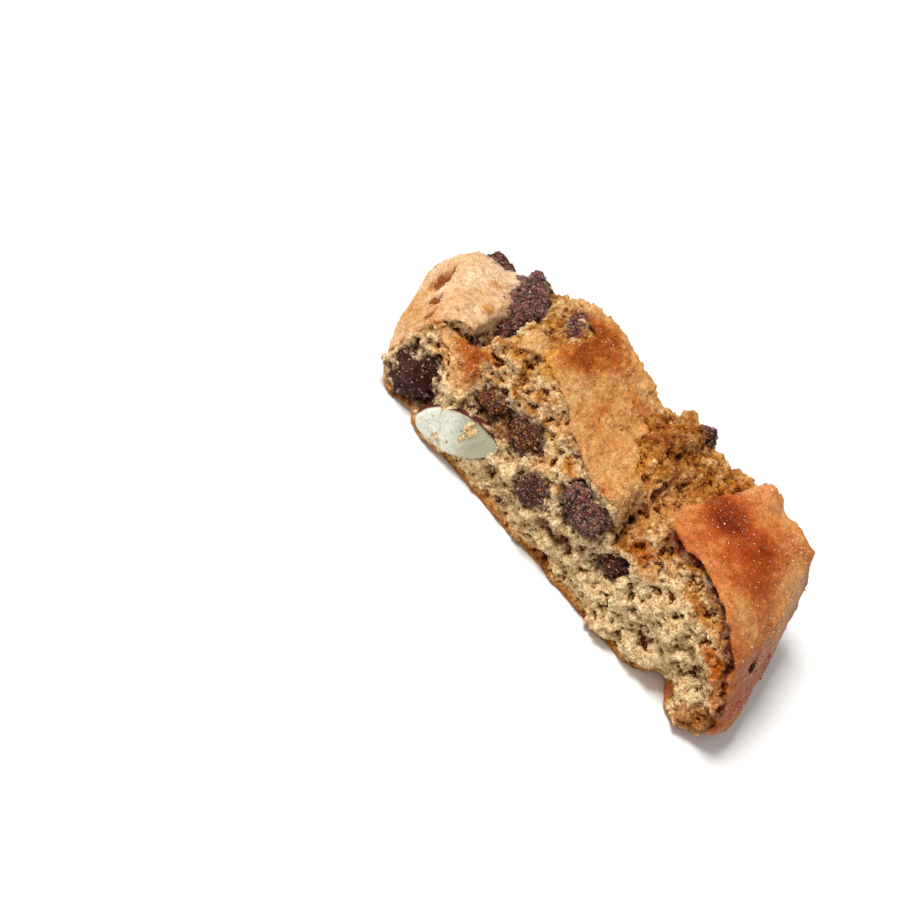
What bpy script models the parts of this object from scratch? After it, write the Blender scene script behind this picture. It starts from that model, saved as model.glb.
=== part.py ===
"""A biscotto: one slice of a twice-baked almond and chocolate log, lying on its baked base.

The log was cut across on a slant, so the slice has a cut face in front and one behind. Its top
and both ends are browned crust, torn open where the log cracked, and almonds and pieces of
chocolate stand in pockets of the crumb. X runs along the slice, Y from the front cut face to the
back one, and Z up from the baked base. The origin is on the base, under the slice's middle.
"""

import math
from dataclasses import dataclass

import bmesh
import bpy
from mathutils import Euler, Vector, noise

# Lengths below are in millimetres, and are multiplied by MM where they reach Blender.
MM = 0.001

# Driving dimensions of the slice.
THICKNESS = 29.0  # from the front cut face to the back one
HALF_LENGTH = 46.5
CRUST_DROP_STARTS = 0.30  # share of the height above which the ends round over
END_ROUNDING = {"left": 0.08, "right": 0.16}  # how far the top falls short of each end
BASE_ROUNDING = 0.11  # how far the base falls short of the ends
POCKET_GAP = 0.35  # between an inclusion and the crumb around it
POCKET_MOUTH = 2.5  # how far a pocket runs out past the knife's plane, to clear the crags there
GRID = (60, 19, 14)  # faces along the slice, through it and up it

# How far each end reaches from the middle, by the distance behind the front face.
LEFT_REACH = ((0.0, 39.2), (5.0, 41.2), (10.0, 43.0), (18.0, 45.4), (24.0, HALF_LENGTH), (29.0, 43.0))
RIGHT_REACH = ((0.0, 44.6), (5.0, 46.2), (18.0, 43.8), (29.0, 39.6))

# Height of the crust along the slice.
CRUST_PROFILE = (
    (-46.0, 14.0),
    (-41.0, 17.4),
    (-34.0, 18.8),
    (-28.0, 21.4),
    (-23.0, 23.6),
    (-17.0, 24.0),
    (-9.0, 23.2),
    (-2.0, 22.8),
    (4.0, 23.4),
    (12.0, 23.0),
    (19.0, 24.2),
    (26.0, 25.2),
    (32.0, 24.4),
    (38.0, 20.8),
    (44.0, 14.2),
)

# How far the crust's edge has broken back from each cut face, along the slice.
FRONT_BREAK = (
    (-46.0, 2.0),
    (-36.0, 5.0),
    (-30.0, 7.0),
    (-24.0, 9.5),
    (-19.0, 11.0),
    (-12.0, 8.0),
    (-5.0, 3.8),
    (1.0, 1.4),
    (7.0, 2.0),
    (11.0, 4.5),
    (17.0, 7.6),
    (26.0, 4.8),
    (32.0, 2.6),
    (38.0, 0.8),
    (46.0, 0.4),
)
BACK_BREAK = (
    (-46.0, 1.0),
    (-34.0, 2.2),
    (-20.0, 0.6),
    (-2.0, 1.6),
    (14.0, 0.6),
    (30.0, 0.6),
    (46.0, 0.8),
)
FRONT_BREAK_STARTS = 0.40  # share of the height above which the front face leans back
BACK_BREAK_STARTS = 0.55


@dataclass(frozen=True)
class Relief:
    """A rise or a hollow of the crust: where it is, how far it spreads and how high it stands."""

    x: float
    y: float
    along: float
    across: float
    rise: float


@dataclass(frozen=True)
class Chip:
    """A piece broken out of the front face: where it is, how far it spreads and how deep it goes."""

    x: float
    z: float
    along: float
    up: float
    depth: float


@dataclass(frozen=True)
class Inclusion:
    """An almond or a piece of chocolate baked into the slice."""

    name: str
    centre: tuple
    half: tuple
    turn: tuple = (0.0, 0.0, 0.0)
    front: float | None = None  # the knife's plane, where it was cut through in front
    back: float | None = None
    detail: int = 3
    lump: float = 0.9


# Places in the reliefs, chips and inclusions count Y from the front cut face.
CRUST_RELIEF = (
    Relief(9.4, 3.0, 2.0, 7.0, -8.0),  # cleft between the two halves of the crust
    Relief(10.6, 13.0, 2.6, 6.0, -3.4),
    Relief(3.6, 21.0, 3.8, 8.5, 2.9),  # hump of torn crumb behind the cleft
    Relief(-2.6, 23.0, 2.2, 7.0, -1.5),
    Relief(12.6, 19.0, 3.0, 5.5, -2.6),
    Relief(20.4, 28.0, 2.6, 4.0, 3.4),  # peak of the right crust's torn edge
    Relief(24.0, 13.0, 9.0, 9.0, 0.9),
    Relief(-29.6, 15.0, 1.8, 9.0, -5.4),  # trench behind the pale left crust
    Relief(-40.0, 29.0, 6.5, 6.0, -4.8),
    Relief(-24.6, 19.0, 2.6, 3.6, -3.0),  # pit beside the left crust
    Relief(-25.0, 13.5, 2.0, 2.2, 1.8),  # lobe of crumb in front of the pit
    Relief(-20.0, 22.0, 6.5, 7.0, 1.1),
    Relief(-36.0, 12.0, 5.0, 7.0, 1.0),  # swell of the pale crust
    Relief(-31.0, 4.0, 5.5, 3.0, 2.0),  # tongue of crust over the left pocket
    Relief(0.0, 9.0, 7.0, 4.0, 0.9),
    Relief(28.0, 25.0, 6.0, 6.0, 0.7),
)
FRONT_CHIPS = (
    Chip(32.0, 0.0, 3.0, 4.5, 5.5),  # notch in the base's front edge
    Chip(-17.0, 13.8, 6.0, 3.0, 4.0),  # recess under the broken crust
    Chip(-35.5, 6.5, 5.0, 5.0, 1.4),  # hollow at the left pocket
    Chip(12.4, 11.5, 2.8, 3.0, 4.0),  # foot of the cleft
    Chip(-2.0, 6.0, 6.0, 2.0, -1.0),
    Chip(24.0, 9.0, 7.0, 2.4, 1.6),
    Chip(33.5, 9.5, 3.0, 2.2, 2.6),
    Chip(18.0, 4.0, 6.0, 2.6, -1.0),
    Chip(40.0, 4.5, 3.0, 2.6, -0.8),
    Chip(42.5, 0.0, 4.0, 2.0, 1.6),
)
CRAG_SIZE = 3.4
CRAG_DEPTH = 2.0
CRUST_WAVE_SIZE = 8.0
CRUST_WAVE_DEPTH = 0.45
LOWEST_CRAG = 0.25  # height that crags near the base keep over it

ALMOND_TAPER = 0.30
ALMONDS = (
    Inclusion(
        "almond_front", (-21.6, 0.9, 6.5), (8.3, 4.5, 4.2), turn=(0, -34, 0), front=-1.3, lump=0.25
    ),
    Inclusion(
        "almond_back", (12.0, 28.2, 11.0), (8.2, 5.4, 4.6), turn=(0, 22, 0), back=29.9, lump=0.25
    ),
)
CHOCOLATE = (
    Inclusion("chocolate_left_end", (-33.4, 4.0, 6.0), (4.8, 4.2, 5.2), turn=(0, 12, 0)),
    Inclusion("chocolate_crescent", (-30.4, 21.6, 16.4), (4.0, 7.6, 4.2), turn=(0, 0, 14)),
    Inclusion(
        "chocolate_back_corner", (-37.6, 26.6, 11.8), (4.6, 2.6, 2.8), turn=(0, 16, -18), detail=2
    ),
    Inclusion(
        "chocolate_top_spot", (-21.4, 22.4, 22.0), (1.8, 4.0, 2.4), turn=(0, 0, 18), detail=2
    ),
    Inclusion(
        "chocolate_front_large", (2.6, 2.6, 16.4), (4.6, 3.4, 4.0), turn=(0, -8, 0), front=0.2
    ),
    Inclusion("chocolate_front_small", (-5.8, 1.6, 11.0), (3.3, 2.4, 2.7), turn=(0, 28, 0), detail=2),
    Inclusion("chocolate_recess_right", (-13.2, 5.6, 13.8), (3.4, 2.8, 2.4), turn=(0, 10, 0), detail=2),
    Inclusion("chocolate_recess_left", (-21.8, 6.2, 13.2), (3.3, 2.8, 1.7), turn=(0, -6, 0), detail=2),
    Inclusion("chocolate_cleft", (12.4, 4.8, 11.0), (2.6, 2.4, 2.6), detail=2),
    Inclusion("chocolate_rear_ridge", (6.6, 28.0, 23.4), (1.9, 1.9, 1.7), detail=2),
    Inclusion(
        "chocolate_back_left", (-14.0, 27.6, 12.4), (4.6, 3.2, 3.7), turn=(0, 16, 0), back=29.4
    ),
    Inclusion(
        "chocolate_back_right", (29.0, 27.6, 8.6), (3.4, 2.8, 2.9), turn=(0, -20, 0), back=29.3, detail=2
    ),
)
LUMP_SIZE = 3.4
LUMP_DEPTH = 0.22  # share of an inclusion's radius

CRUMB_COLOUR = (0.62, 0.40, 0.19, 1.0)
CHOCOLATE_COLOUR = (0.055, 0.022, 0.015, 1.0)
ALMOND_COLOUR = (0.78, 0.74, 0.58, 1.0)


def curve_through(points, at):
    """Reads a smooth curve that passes through the points, at one place along it."""
    if at <= points[0][0]:
        return points[0][1]
    if at >= points[-1][0]:
        return points[-1][1]
    last = len(points) - 1
    i = max(k for k in range(last) if points[k][0] <= at)
    (x0, y0), (x1, y1) = points[i], points[i + 1]
    before, after = points[max(i - 1, 0)], points[min(i + 2, last)]
    slope0 = (y1 - before[1]) / (x1 - before[0])
    slope1 = (after[1] - y0) / (after[0] - x0)
    t = (at - x0) / (x1 - x0)
    step = x1 - x0
    return (
        (2 * t**3 - 3 * t**2 + 1) * y0
        + (t**3 - 2 * t**2 + t) * step * slope0
        + (3 * t**2 - 2 * t**3) * y1
        + (t**3 - t**2) * step * slope1
    )


def smooth_step(low, high, value):
    """Rises from 0 at low to 1 at high with no corner."""
    t = min(1.0, max(0.0, (value - low) / (high - low)))
    return t * t * (3 - 2 * t)


def swell(dx, dy):
    """A round hump of height 1, from offsets counted in its own half widths."""
    return math.exp(-(dx * dx + dy * dy))


def end_share(side, height):
    """How much of an end's reach is left at a share of the height."""
    rounding = END_ROUNDING[side]
    if height > CRUST_DROP_STARTS:
        return 1 - rounding * ((height - CRUST_DROP_STARTS) / (1 - CRUST_DROP_STARTS)) ** 2.4
    return 1 - BASE_ROUNDING * ((CRUST_DROP_STARTS - height) / CRUST_DROP_STARTS) ** 2


def shaped(corner):
    """Moves a point of the blank, from -1 to 1 each way, to its place on the slice in millimetres."""
    height = (corner.z + 1) / 2
    behind = (corner.y + 1) / 2 * THICKNESS
    side, reach = ("right", RIGHT_REACH) if corner.x > 0 else ("left", LEFT_REACH)
    x = corner.x * curve_through(reach, behind) * end_share(side, height)
    crust = curve_through(CRUST_PROFILE, x)
    z = height * crust
    front = curve_through(FRONT_BREAK, x) * smooth_step(FRONT_BREAK_STARTS, 1.0, height)
    front += sum(c.depth * swell((x - c.x) / c.along, (z - c.z) / c.up) for c in FRONT_CHIPS)
    back = curve_through(BACK_BREAK, x) * smooth_step(BACK_BREAK_STARTS, 1.0, height)
    share = behind / THICKNESS
    y = behind + front * (1 - share) - back * share
    rise = sum(r.rise * swell((x - r.x) / r.along, (y - r.y) / r.across) for r in CRUST_RELIEF)
    return Vector((x, y, z + rise * height**3))


def on_crust(point, normal):
    """1 on the browned crust and 0 on bare crumb: the crust looks up, or out at the ends."""
    upward = smooth_step(0.45, 0.75, normal.z)
    outward = smooth_step(0.6, 0.85, abs(normal.x))
    torn = swell((point.x - 5.5) / 8.0, (point.y - 20.0) / 11.0)
    return max(upward, outward) * (1 - min(1.0, 1.6 * torn))


def add_crags(mesh):
    """Roughens the slice: crags on the crumb, low waves on the crust, and nothing on the base."""
    mesh.normal_update()
    moves = []
    for vertex in mesh.verts:
        point = vertex.co
        crust = on_crust(point, vertex.normal)
        crag = noise.fractal(point / CRAG_SIZE, 0.9, 2.1, 3) * CRAG_DEPTH
        wave = noise.noise(point / CRUST_WAVE_SIZE) * CRUST_WAVE_DEPTH
        off_base = smooth_step(0.0, 2.5, point.z)
        moves.append(vertex.normal * (crag * (1 - crust) + wave * crust) * off_base)
    for vertex, move in zip(mesh.verts, moves):
        on_base = vertex.co.z < 0.01
        vertex.co += move
        vertex.co.z = 0.0 if on_base else max(vertex.co.z, LOWEST_CRAG)


def material(name, colour, roughness):
    """A plain Principled material."""
    made = bpy.data.materials.new(name)
    made.use_nodes = True
    shader = made.node_tree.nodes["Principled BSDF"]
    shader.inputs["Base Color"].default_value = colour
    shader.inputs["Roughness"].default_value = roughness
    return made


def into_metres(obj):
    """Scales a mesh laid out in millimetres, and moves its front face half a slice forward."""
    for vertex in obj.data.vertices:
        vertex.co = (vertex.co - Vector((0.0, THICKNESS / 2, 0.0))) * MM


def make_slice(collection, finish):
    """The slice without its pockets: a cube's grid, shaped and roughened."""
    bpy.ops.mesh.primitive_cube_add(size=2)
    obj = bpy.context.active_object
    obj.name = obj.data.name = "biscuit"
    mesh = bmesh.new()
    mesh.from_mesh(obj.data)
    for axis, faces in enumerate(GRID):
        along = [e for e in mesh.edges if abs((e.verts[0].co - e.verts[1].co)[axis]) > 1e-6]
        bmesh.ops.subdivide_edges(mesh, edges=along, cuts=faces - 1, use_grid_fill=True)
    for vertex in mesh.verts:
        vertex.co = shaped(vertex.co)
    add_crags(mesh)
    base = [face for face in mesh.faces if all(vertex.co.z == 0.0 for vertex in face.verts)]
    bmesh.ops.dissolve_faces(mesh, faces=base)
    bmesh.ops.recalc_face_normals(mesh, faces=mesh.faces)
    mesh.to_mesh(obj.data)
    mesh.free()
    into_metres(obj)
    obj.data.shade_smooth()
    obj.data.materials.append(finish)
    move_to(obj, collection)
    return obj


def move_to(obj, collection):
    """Takes an object out of the collections it is in and puts it in this one."""
    for held in list(obj.users_collection):
        held.objects.unlink(obj)
    collection.objects.link(obj)


def inclusion_points(piece, grown):
    """Gives the mesh move that turns a unit sphere into the piece, or into its pocket when grown."""
    turn = Euler([math.radians(a) for a in piece.turn])
    centre = Vector(piece.centre)
    blunt = ALMOND_TAPER if piece in ALMONDS else 0.0

    def moved(unit):
        lump = noise.noise((unit * max(piece.half) + centre) / LUMP_SIZE)
        bump = 1 + piece.lump * LUMP_DEPTH * lump
        taper = 1 - blunt * max(0.0, unit.x) ** 2
        size = Vector((piece.half[0], piece.half[1] * taper, piece.half[2] * taper)) * bump
        point = unit * size + unit * grown
        point.rotate(turn)
        point += centre
        beyond = POCKET_MOUTH if grown else 0.0
        if piece.front is not None and point.y < piece.front:
            point.y = piece.front - beyond
        if piece.back is not None and point.y > piece.back:
            point.y = piece.back + beyond
        return point

    return moved


def make_inclusion(piece, collection, finish, grown=0.0):
    """An almond or a chocolate piece, or the cutter of its pocket when grown is over 0."""
    bpy.ops.mesh.primitive_ico_sphere_add(subdivisions=piece.detail, radius=1)
    obj = bpy.context.active_object
    obj.name = obj.data.name = piece.name + ("_pocket" if grown else "")
    moved = inclusion_points(piece, grown)
    for vertex in obj.data.vertices:
        vertex.co = moved(vertex.co.copy())
    into_metres(obj)
    obj.data.shade_smooth()
    if finish:
        obj.data.materials.append(finish)
    move_to(obj, collection)
    return obj


def cut_pockets(body, pockets):
    """Cuts every pocket out of the slice with one Boolean."""
    cut = body.modifiers.new("pockets", "BOOLEAN")
    cut.operation = "DIFFERENCE"
    cut.operand_type = "COLLECTION"
    cut.collection = pockets
    cut.solver = "EXACT"
    for cutter in pockets.objects:
        cutter.hide_render = True
        cutter.display_type = "WIRE"


def main():
    """Builds the slice and everything baked into it."""
    for old in list(bpy.data.objects):
        bpy.data.objects.remove(old)
    biscotto = bpy.data.collections.new("biscotto")
    pockets = bpy.data.collections.new("pockets")
    bpy.context.scene.collection.children.link(biscotto)
    bpy.context.scene.collection.children.link(pockets)
    crumb = material("baked_crumb", CRUMB_COLOUR, 0.85)
    chocolate = material("chocolate", CHOCOLATE_COLOUR, 0.6)
    almond = material("almond", ALMOND_COLOUR, 0.55)
    body = make_slice(biscotto, crumb)
    for piece, finish in [(p, almond) for p in ALMONDS] + [(p, chocolate) for p in CHOCOLATE]:
        make_inclusion(piece, biscotto, finish)
        make_inclusion(piece, pockets, None, grown=POCKET_GAP)
    cut_pockets(body, pockets)


main()
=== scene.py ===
"""The looks of an almond and chocolate biscotto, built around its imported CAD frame.

Blender 4.5. X runs along the slice, Y from the front cut face to the back one and Z up from the
baked base. Blender's lengths are metres. The shapes are worked out in millimetres of the slice:
there Y counts from the front cut face, as in the drawing that the solids came from.
"""

import logging
import math
from dataclasses import dataclass
from enum import Enum

import bmesh
import bpy
import numpy as np
from mathutils import Matrix, Vector, noise
from mathutils.bvhtree import BVHTree
from mathutils.kdtree import KDTree


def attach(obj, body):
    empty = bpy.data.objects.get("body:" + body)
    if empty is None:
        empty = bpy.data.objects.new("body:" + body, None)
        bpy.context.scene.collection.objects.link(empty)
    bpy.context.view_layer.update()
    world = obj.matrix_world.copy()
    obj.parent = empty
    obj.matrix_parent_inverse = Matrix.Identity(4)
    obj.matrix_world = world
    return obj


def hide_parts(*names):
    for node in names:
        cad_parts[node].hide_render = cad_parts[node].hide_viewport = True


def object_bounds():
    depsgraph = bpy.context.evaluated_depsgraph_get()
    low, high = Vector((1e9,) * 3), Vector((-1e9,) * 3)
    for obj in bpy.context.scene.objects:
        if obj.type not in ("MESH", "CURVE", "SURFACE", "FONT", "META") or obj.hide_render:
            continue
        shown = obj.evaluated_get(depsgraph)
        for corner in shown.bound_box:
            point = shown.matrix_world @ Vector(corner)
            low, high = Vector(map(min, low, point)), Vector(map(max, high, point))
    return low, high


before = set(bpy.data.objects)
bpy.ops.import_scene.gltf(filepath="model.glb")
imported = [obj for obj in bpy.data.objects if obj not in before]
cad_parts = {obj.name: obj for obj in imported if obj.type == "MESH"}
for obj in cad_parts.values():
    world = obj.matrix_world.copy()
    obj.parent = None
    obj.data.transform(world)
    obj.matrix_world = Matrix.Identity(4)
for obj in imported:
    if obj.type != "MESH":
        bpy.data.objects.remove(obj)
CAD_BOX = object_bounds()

MM = 0.001
FRONT_FACE = -14.5  # world Y of the front cut face, in millimetres
ZERO = Vector((0.0, FRONT_FACE, 0.0))  # where the slice's own millimetres start
WELD = 0.0005 * MM  # corners nearer than this are one corner
BODY_NODE = "biscuit"
Place = tuple[float, float, float]
LOG = logging.getLogger("biscotto")


def linear(hex_colour: str) -> tuple[float, float, float, float]:
    """Turns an sRGB hex colour to the linear colour that Blender's sockets take.

    Args:
        hex_colour: six hex digits, such as "e2b889".

    Returns:
        Red, green, blue and an alpha of 1.
    """
    shares = [int(hex_colour[i : i + 2], 16) / 255 for i in (0, 2, 4)]
    red, green, blue = [s / 12.92 if s <= 0.04045 else ((s + 0.055) / 1.055) ** 2.4 for s in shares]
    return (red, green, blue, 1.0)


def per_mm(size: float) -> float:
    """Gives a texture's Scale on Object coordinates for a pattern about size millimetres wide."""
    return 1.0 / (size * MM)


def to_slice(places: np.ndarray) -> np.ndarray:
    """Turns world places in metres to millimetres of the slice."""
    return places / MM - (0.0, FRONT_FACE, 0.0)


def to_world(places: np.ndarray) -> np.ndarray:
    """Turns places in millimetres of the slice to world places in metres."""
    return (places + (0.0, FRONT_FACE, 0.0)) * MM


def inside_box(places: np.ndarray) -> np.ndarray:
    """Moves places in millimetres of the slice to inside the CAD model's box."""
    low, high = (to_slice(np.array(corner)) for corner in CAD_BOX)
    return np.clip(places, low, high)


def rise(low: float, high: float, value: np.ndarray) -> np.ndarray:
    """Rises smoothly from 0 where a value is low to 1 where it is high; low may be the larger."""
    t = np.clip((value - low) / (high - low), 0.0, 1.0)
    return t * t * (3.0 - 2.0 * t)


def shade(stops: tuple[str, ...], share: np.ndarray) -> np.ndarray:
    """Reads a row of colours.

    Args:
        stops: sRGB hex colours, evenly spaced.
        share: 0 at the first colour and 1 at the last, one number for each place.

    Returns:
        A linear colour for each place.
    """
    colours = np.array([linear(stop)[:3] for stop in stops])
    at = np.clip(share, 0.0, 1.0) * (len(stops) - 1)
    return np.stack([np.interp(at, np.arange(len(stops)), column) for column in colours.T], axis=1)


def mixed(first: np.ndarray, second: np.ndarray, share: np.ndarray) -> np.ndarray:
    """Mixes rows of colours: the first where the share is 0 and the second where it is 1."""
    return first + (second - first) * np.clip(share, 0.0, 1.0)[:, None]


def waves(points: np.ndarray, size: float, octaves: int = 1, shift: float = 0.0) -> np.ndarray:
    """Reads smooth noise in space.

    Args:
        points: places in millimetres, one row each.
        size: width of the largest waves, in millimetres.
        octaves: how many halvings of the size are added.
        shift: moves the pattern, so that two readings differ.

    Returns:
        A number from about -1 to 1 for each place.
    """
    places = (points / size + shift).tolist()
    if octaves == 1:
        return np.array([noise.noise(p) for p in places])
    return np.array([noise.fractal(p, 0.8, 2.0, octaves) for p in places])


def knobbly(points: np.ndarray, size: float, shift: float = 0.0) -> np.ndarray:
    """Reads a pattern of round grains.

    Args:
        points: places in millimetres, one row each.
        size: width of a grain in millimetres.
        shift: moves the pattern, so that two readings differ.

    Returns:
        1 at the middle of a grain, and down to about -1 in the creases between grains.
    """
    away = np.array([noise.voronoi(p)[0][0] for p in (points / size + shift).tolist()])
    return 1.0 - 2.0 * (away / 0.75) ** 2


class MeshPoints:
    """A mesh's vertices as arrays, in millimetres of the slice."""

    def __init__(self, mesh: bpy.types.Mesh) -> None:
        """Reads the places, normals and edges of a mesh.

        Args:
            mesh: a mesh in metres, in the frame's own place.
        """
        places = np.empty(len(mesh.vertices) * 3, np.float32)
        mesh.vertices.foreach_get("co", places)
        self.mesh = mesh
        self.places = to_slice(places.reshape(-1, 3).astype(np.float64))
        ends = np.empty(len(mesh.edges) * 2, np.int32)
        mesh.edges.foreach_get("vertices", ends)
        self.edges = ends.reshape(-1, 2)
        self.read_normals()

    def read_normals(self) -> None:
        """Reads the vertex normals of the mesh as it now is."""
        normals = np.empty(len(self.mesh.vertices) * 3, np.float32)
        self.mesh.vertex_normals.foreach_get("vector", normals)
        self.normals = normals.reshape(-1, 3).astype(np.float64)

    def write(self) -> None:
        """Puts the places back in the mesh, inside the CAD model's box."""
        self.places = inside_box(self.places)
        self.mesh.vertices.foreach_set("co", to_world(self.places).astype(np.float32).ravel())
        self.mesh.update()
        self.read_normals()

    def averaged(self, values: np.ndarray, rounds: int) -> np.ndarray:
        """Blurs values over neighbouring vertices.

        Args:
            values: one row or one number for each vertex.
            rounds: how often each vertex takes the mean of its neighbours.

        Returns:
            The blurred values.
        """
        first, second = self.edges.T
        count = len(self.places)
        degree = np.bincount(first, minlength=count) + np.bincount(second, minlength=count)
        columns = np.atleast_2d(values.T)
        for _ in range(rounds):
            sums = [
                np.bincount(first, column[second], count) + np.bincount(second, column[first], count)
                for column in columns
            ]
            columns = np.array(sums) / degree
        return columns.T if values.ndim > 1 else columns[0]

    def facing(self, rounds: int) -> np.ndarray:
        """Gives the direction that the surface faces as a whole, as unit rows."""
        blurred = self.averaged(self.normals, rounds)
        return blurred / np.linalg.norm(blurred, axis=1)[:, None]

    def sunken(self, rounds: int) -> np.ndarray:
        """Gives how far each vertex lies below the surface around it, in millimetres."""
        around = self.averaged(self.places, rounds)
        return np.einsum("ij,ij->i", around - self.places, self.facing(max(1, rounds // 3)))

    def keep(self, name: str, values: np.ndarray) -> None:
        """Stores an attribute that a material can read.

        Args:
            name: the attribute's name.
            values: a number, or a linear colour, for each vertex.
        """
        kind, part = "FLOAT", "value"
        if values.ndim > 1:
            kind, part = "FLOAT_COLOR", "color"
            values = np.hstack([values, np.ones((len(values), 1))])
        attribute = self.mesh.attributes.new(name, kind, "POINT")
        attribute.data.foreach_set(part, values.astype(np.float32).ravel())


def nearest(known: np.ndarray, asked: np.ndarray) -> tuple[np.ndarray, np.ndarray]:
    """Finds the known point that is nearest to each asked point.

    Args:
        known: places in millimetres.
        asked: places in millimetres.

    Returns:
        The row of the nearest known point, and its distance.
    """
    tree = KDTree(len(known))
    for row, place in enumerate(known.tolist()):
        tree.insert(place, row)
    tree.balance()
    found = [tree.find(place)[1:] for place in asked.tolist()]
    rows, distances = zip(*found)
    return np.array(rows), np.array(distances)


def surface_of(names: list[str]) -> BVHTree:
    """Gathers CAD nodes into one tree of faces.

    Args:
        names: the nodes.

    Returns:
        Their faces, in millimetres of the slice.
    """
    corners: list[Vector] = []
    faces: list[list[int]] = []
    for name in names:
        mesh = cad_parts[name].data
        start = len(corners)
        corners += [vertex.co / MM - ZERO for vertex in mesh.vertices]
        faces += [[start + i for i in face.vertices] for face in mesh.polygons]
    return BVHTree.FromPolygons(corners, faces)


def distance_to(names: list[str], places: np.ndarray, reach: float = 6.0) -> np.ndarray:
    """Measures how far places lie from CAD nodes.

    Args:
        names: the nodes.
        places: places in millimetres of the slice.
        reach: the distance that is given where no node is nearer.

    Returns:
        Each place's distance from the nearest node, in millimetres.
    """
    tree = surface_of(names)
    found = [tree.find_nearest(place, reach)[3] for place in places.tolist()]
    return np.array([reach if f is None else f for f in found])


def nodes_named(start: str) -> list[str]:
    """Lists the CAD nodes whose names start with a word, in order."""
    return sorted(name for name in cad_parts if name.startswith(start))


def copied_node(name: str, new_name: str) -> bpy.types.Object:
    """Copies a CAD node into a new object whose corners are joined.

    Args:
        name: the CAD node.
        new_name: the new piece's name.

    Returns:
        The new object, at the origin.
    """
    shape = bmesh.new()
    shape.from_mesh(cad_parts[name].data)
    bmesh.ops.remove_doubles(shape, verts=shape.verts, dist=WELD)
    mesh = bpy.data.meshes.new(new_name)
    shape.to_mesh(mesh)
    shape.free()
    return linked(new_name, mesh)


def mesh_of(name: str, corners: np.ndarray, faces: np.ndarray) -> bpy.types.Mesh:
    """Makes a mesh.

    Args:
        name: its name.
        corners: places in millimetres of the slice.
        faces: rows of corner numbers.

    Returns:
        The mesh, in metres.
    """
    mesh = bpy.data.meshes.new(name)
    mesh.from_pydata(to_world(corners).tolist(), [], faces.tolist())
    return mesh


def linked(name: str, mesh: bpy.types.Mesh) -> bpy.types.Object:
    """Makes an object and puts it in the scene.

    Args:
        name: its name.
        mesh: its mesh.

    Returns:
        The object, at the origin.
    """
    piece = bpy.data.objects.new(name, mesh)
    bpy.context.scene.collection.objects.link(piece)
    return piece


def with_modifier(piece: bpy.types.Object, kind: str, **settings: object) -> None:
    """Puts a modifier on a piece and makes its result the piece's mesh.

    Args:
        piece: the object to change.
        kind: the modifier's type.
        settings: the modifier's own settings.
    """
    modifier = piece.modifiers.new(kind.lower(), kind)
    for name, value in settings.items():
        setattr(modifier, name, value)
    graph = bpy.context.evaluated_depsgraph_get()
    made = bpy.data.meshes.new_from_object(piece.evaluated_get(graph))
    old = piece.data
    piece.modifiers.clear()
    piece.data = made
    bpy.data.meshes.remove(old)
    made.name = piece.name


def dress(
    piece: bpy.types.Object,
    finish: bpy.types.Material,
    slot: str,
    node: str | None = None,
    faceted: bool = False,
) -> None:
    """Gives a piece its finish, hangs it on the root body, and hides the CAD node that it replaces, if
    any.

    Args:
        piece: the finished mesh.
        finish: its material.
        slot: not used.
        node: the CAD node that it replaces, if any.
        faceted: True where its faces meet at sharp edges.
    """
    if faceted:
        piece.data.shade_flat()
    else:
        piece.data.shade_smooth()
    piece.data.materials.clear()
    piece.data.materials.append(finish)
    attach(piece, "root")
    if node:
        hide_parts(node)
    LOG.info("%s: %d faces", piece.name, len(piece.data.polygons))


def balls(
    centres: np.ndarray, sizes: np.ndarray, draw: np.random.Generator, sides: int, rough: float
) -> tuple[np.ndarray, np.ndarray]:
    """Copies a ball to many places, each copy stretched and dented by chance.

    Args:
        centres: the middles, one row each.
        sizes: the widths.
        draw: the seeded source of chance.
        sides: the ball's subdivisions, or 0 for a chip of eight faces.
        rough: how far its corners stray, as a share of its width.

    Returns:
        All corners, and the faces as rows of three corners.
    """
    ball = bmesh.new()
    if sides == 0:
        bmesh.ops.create_uvsphere(ball, u_segments=4, v_segments=2, radius=0.5)
        bmesh.ops.triangulate(ball, faces=ball.faces)
    else:
        bmesh.ops.create_icosphere(ball, subdivisions=sides, radius=0.5)
    unit = np.array([v.co for v in ball.verts])
    faces = np.array([[v.index for v in f.verts] for f in ball.faces])
    ball.free()
    count = len(centres)
    lumps = 1.0 + rough * (draw.random((count, len(unit), 1)) - 0.5)
    stretch = 1.0 + 0.8 * (draw.random((count, 1, 3)) - 0.5)
    corners = unit[None] * lumps * stretch * sizes[:, None, None] + centres[:, None]
    joined = faces[None] + (np.arange(count) * len(unit))[:, None, None]
    return corners.reshape(-1, 3), joined.reshape(-1, 3)


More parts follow.
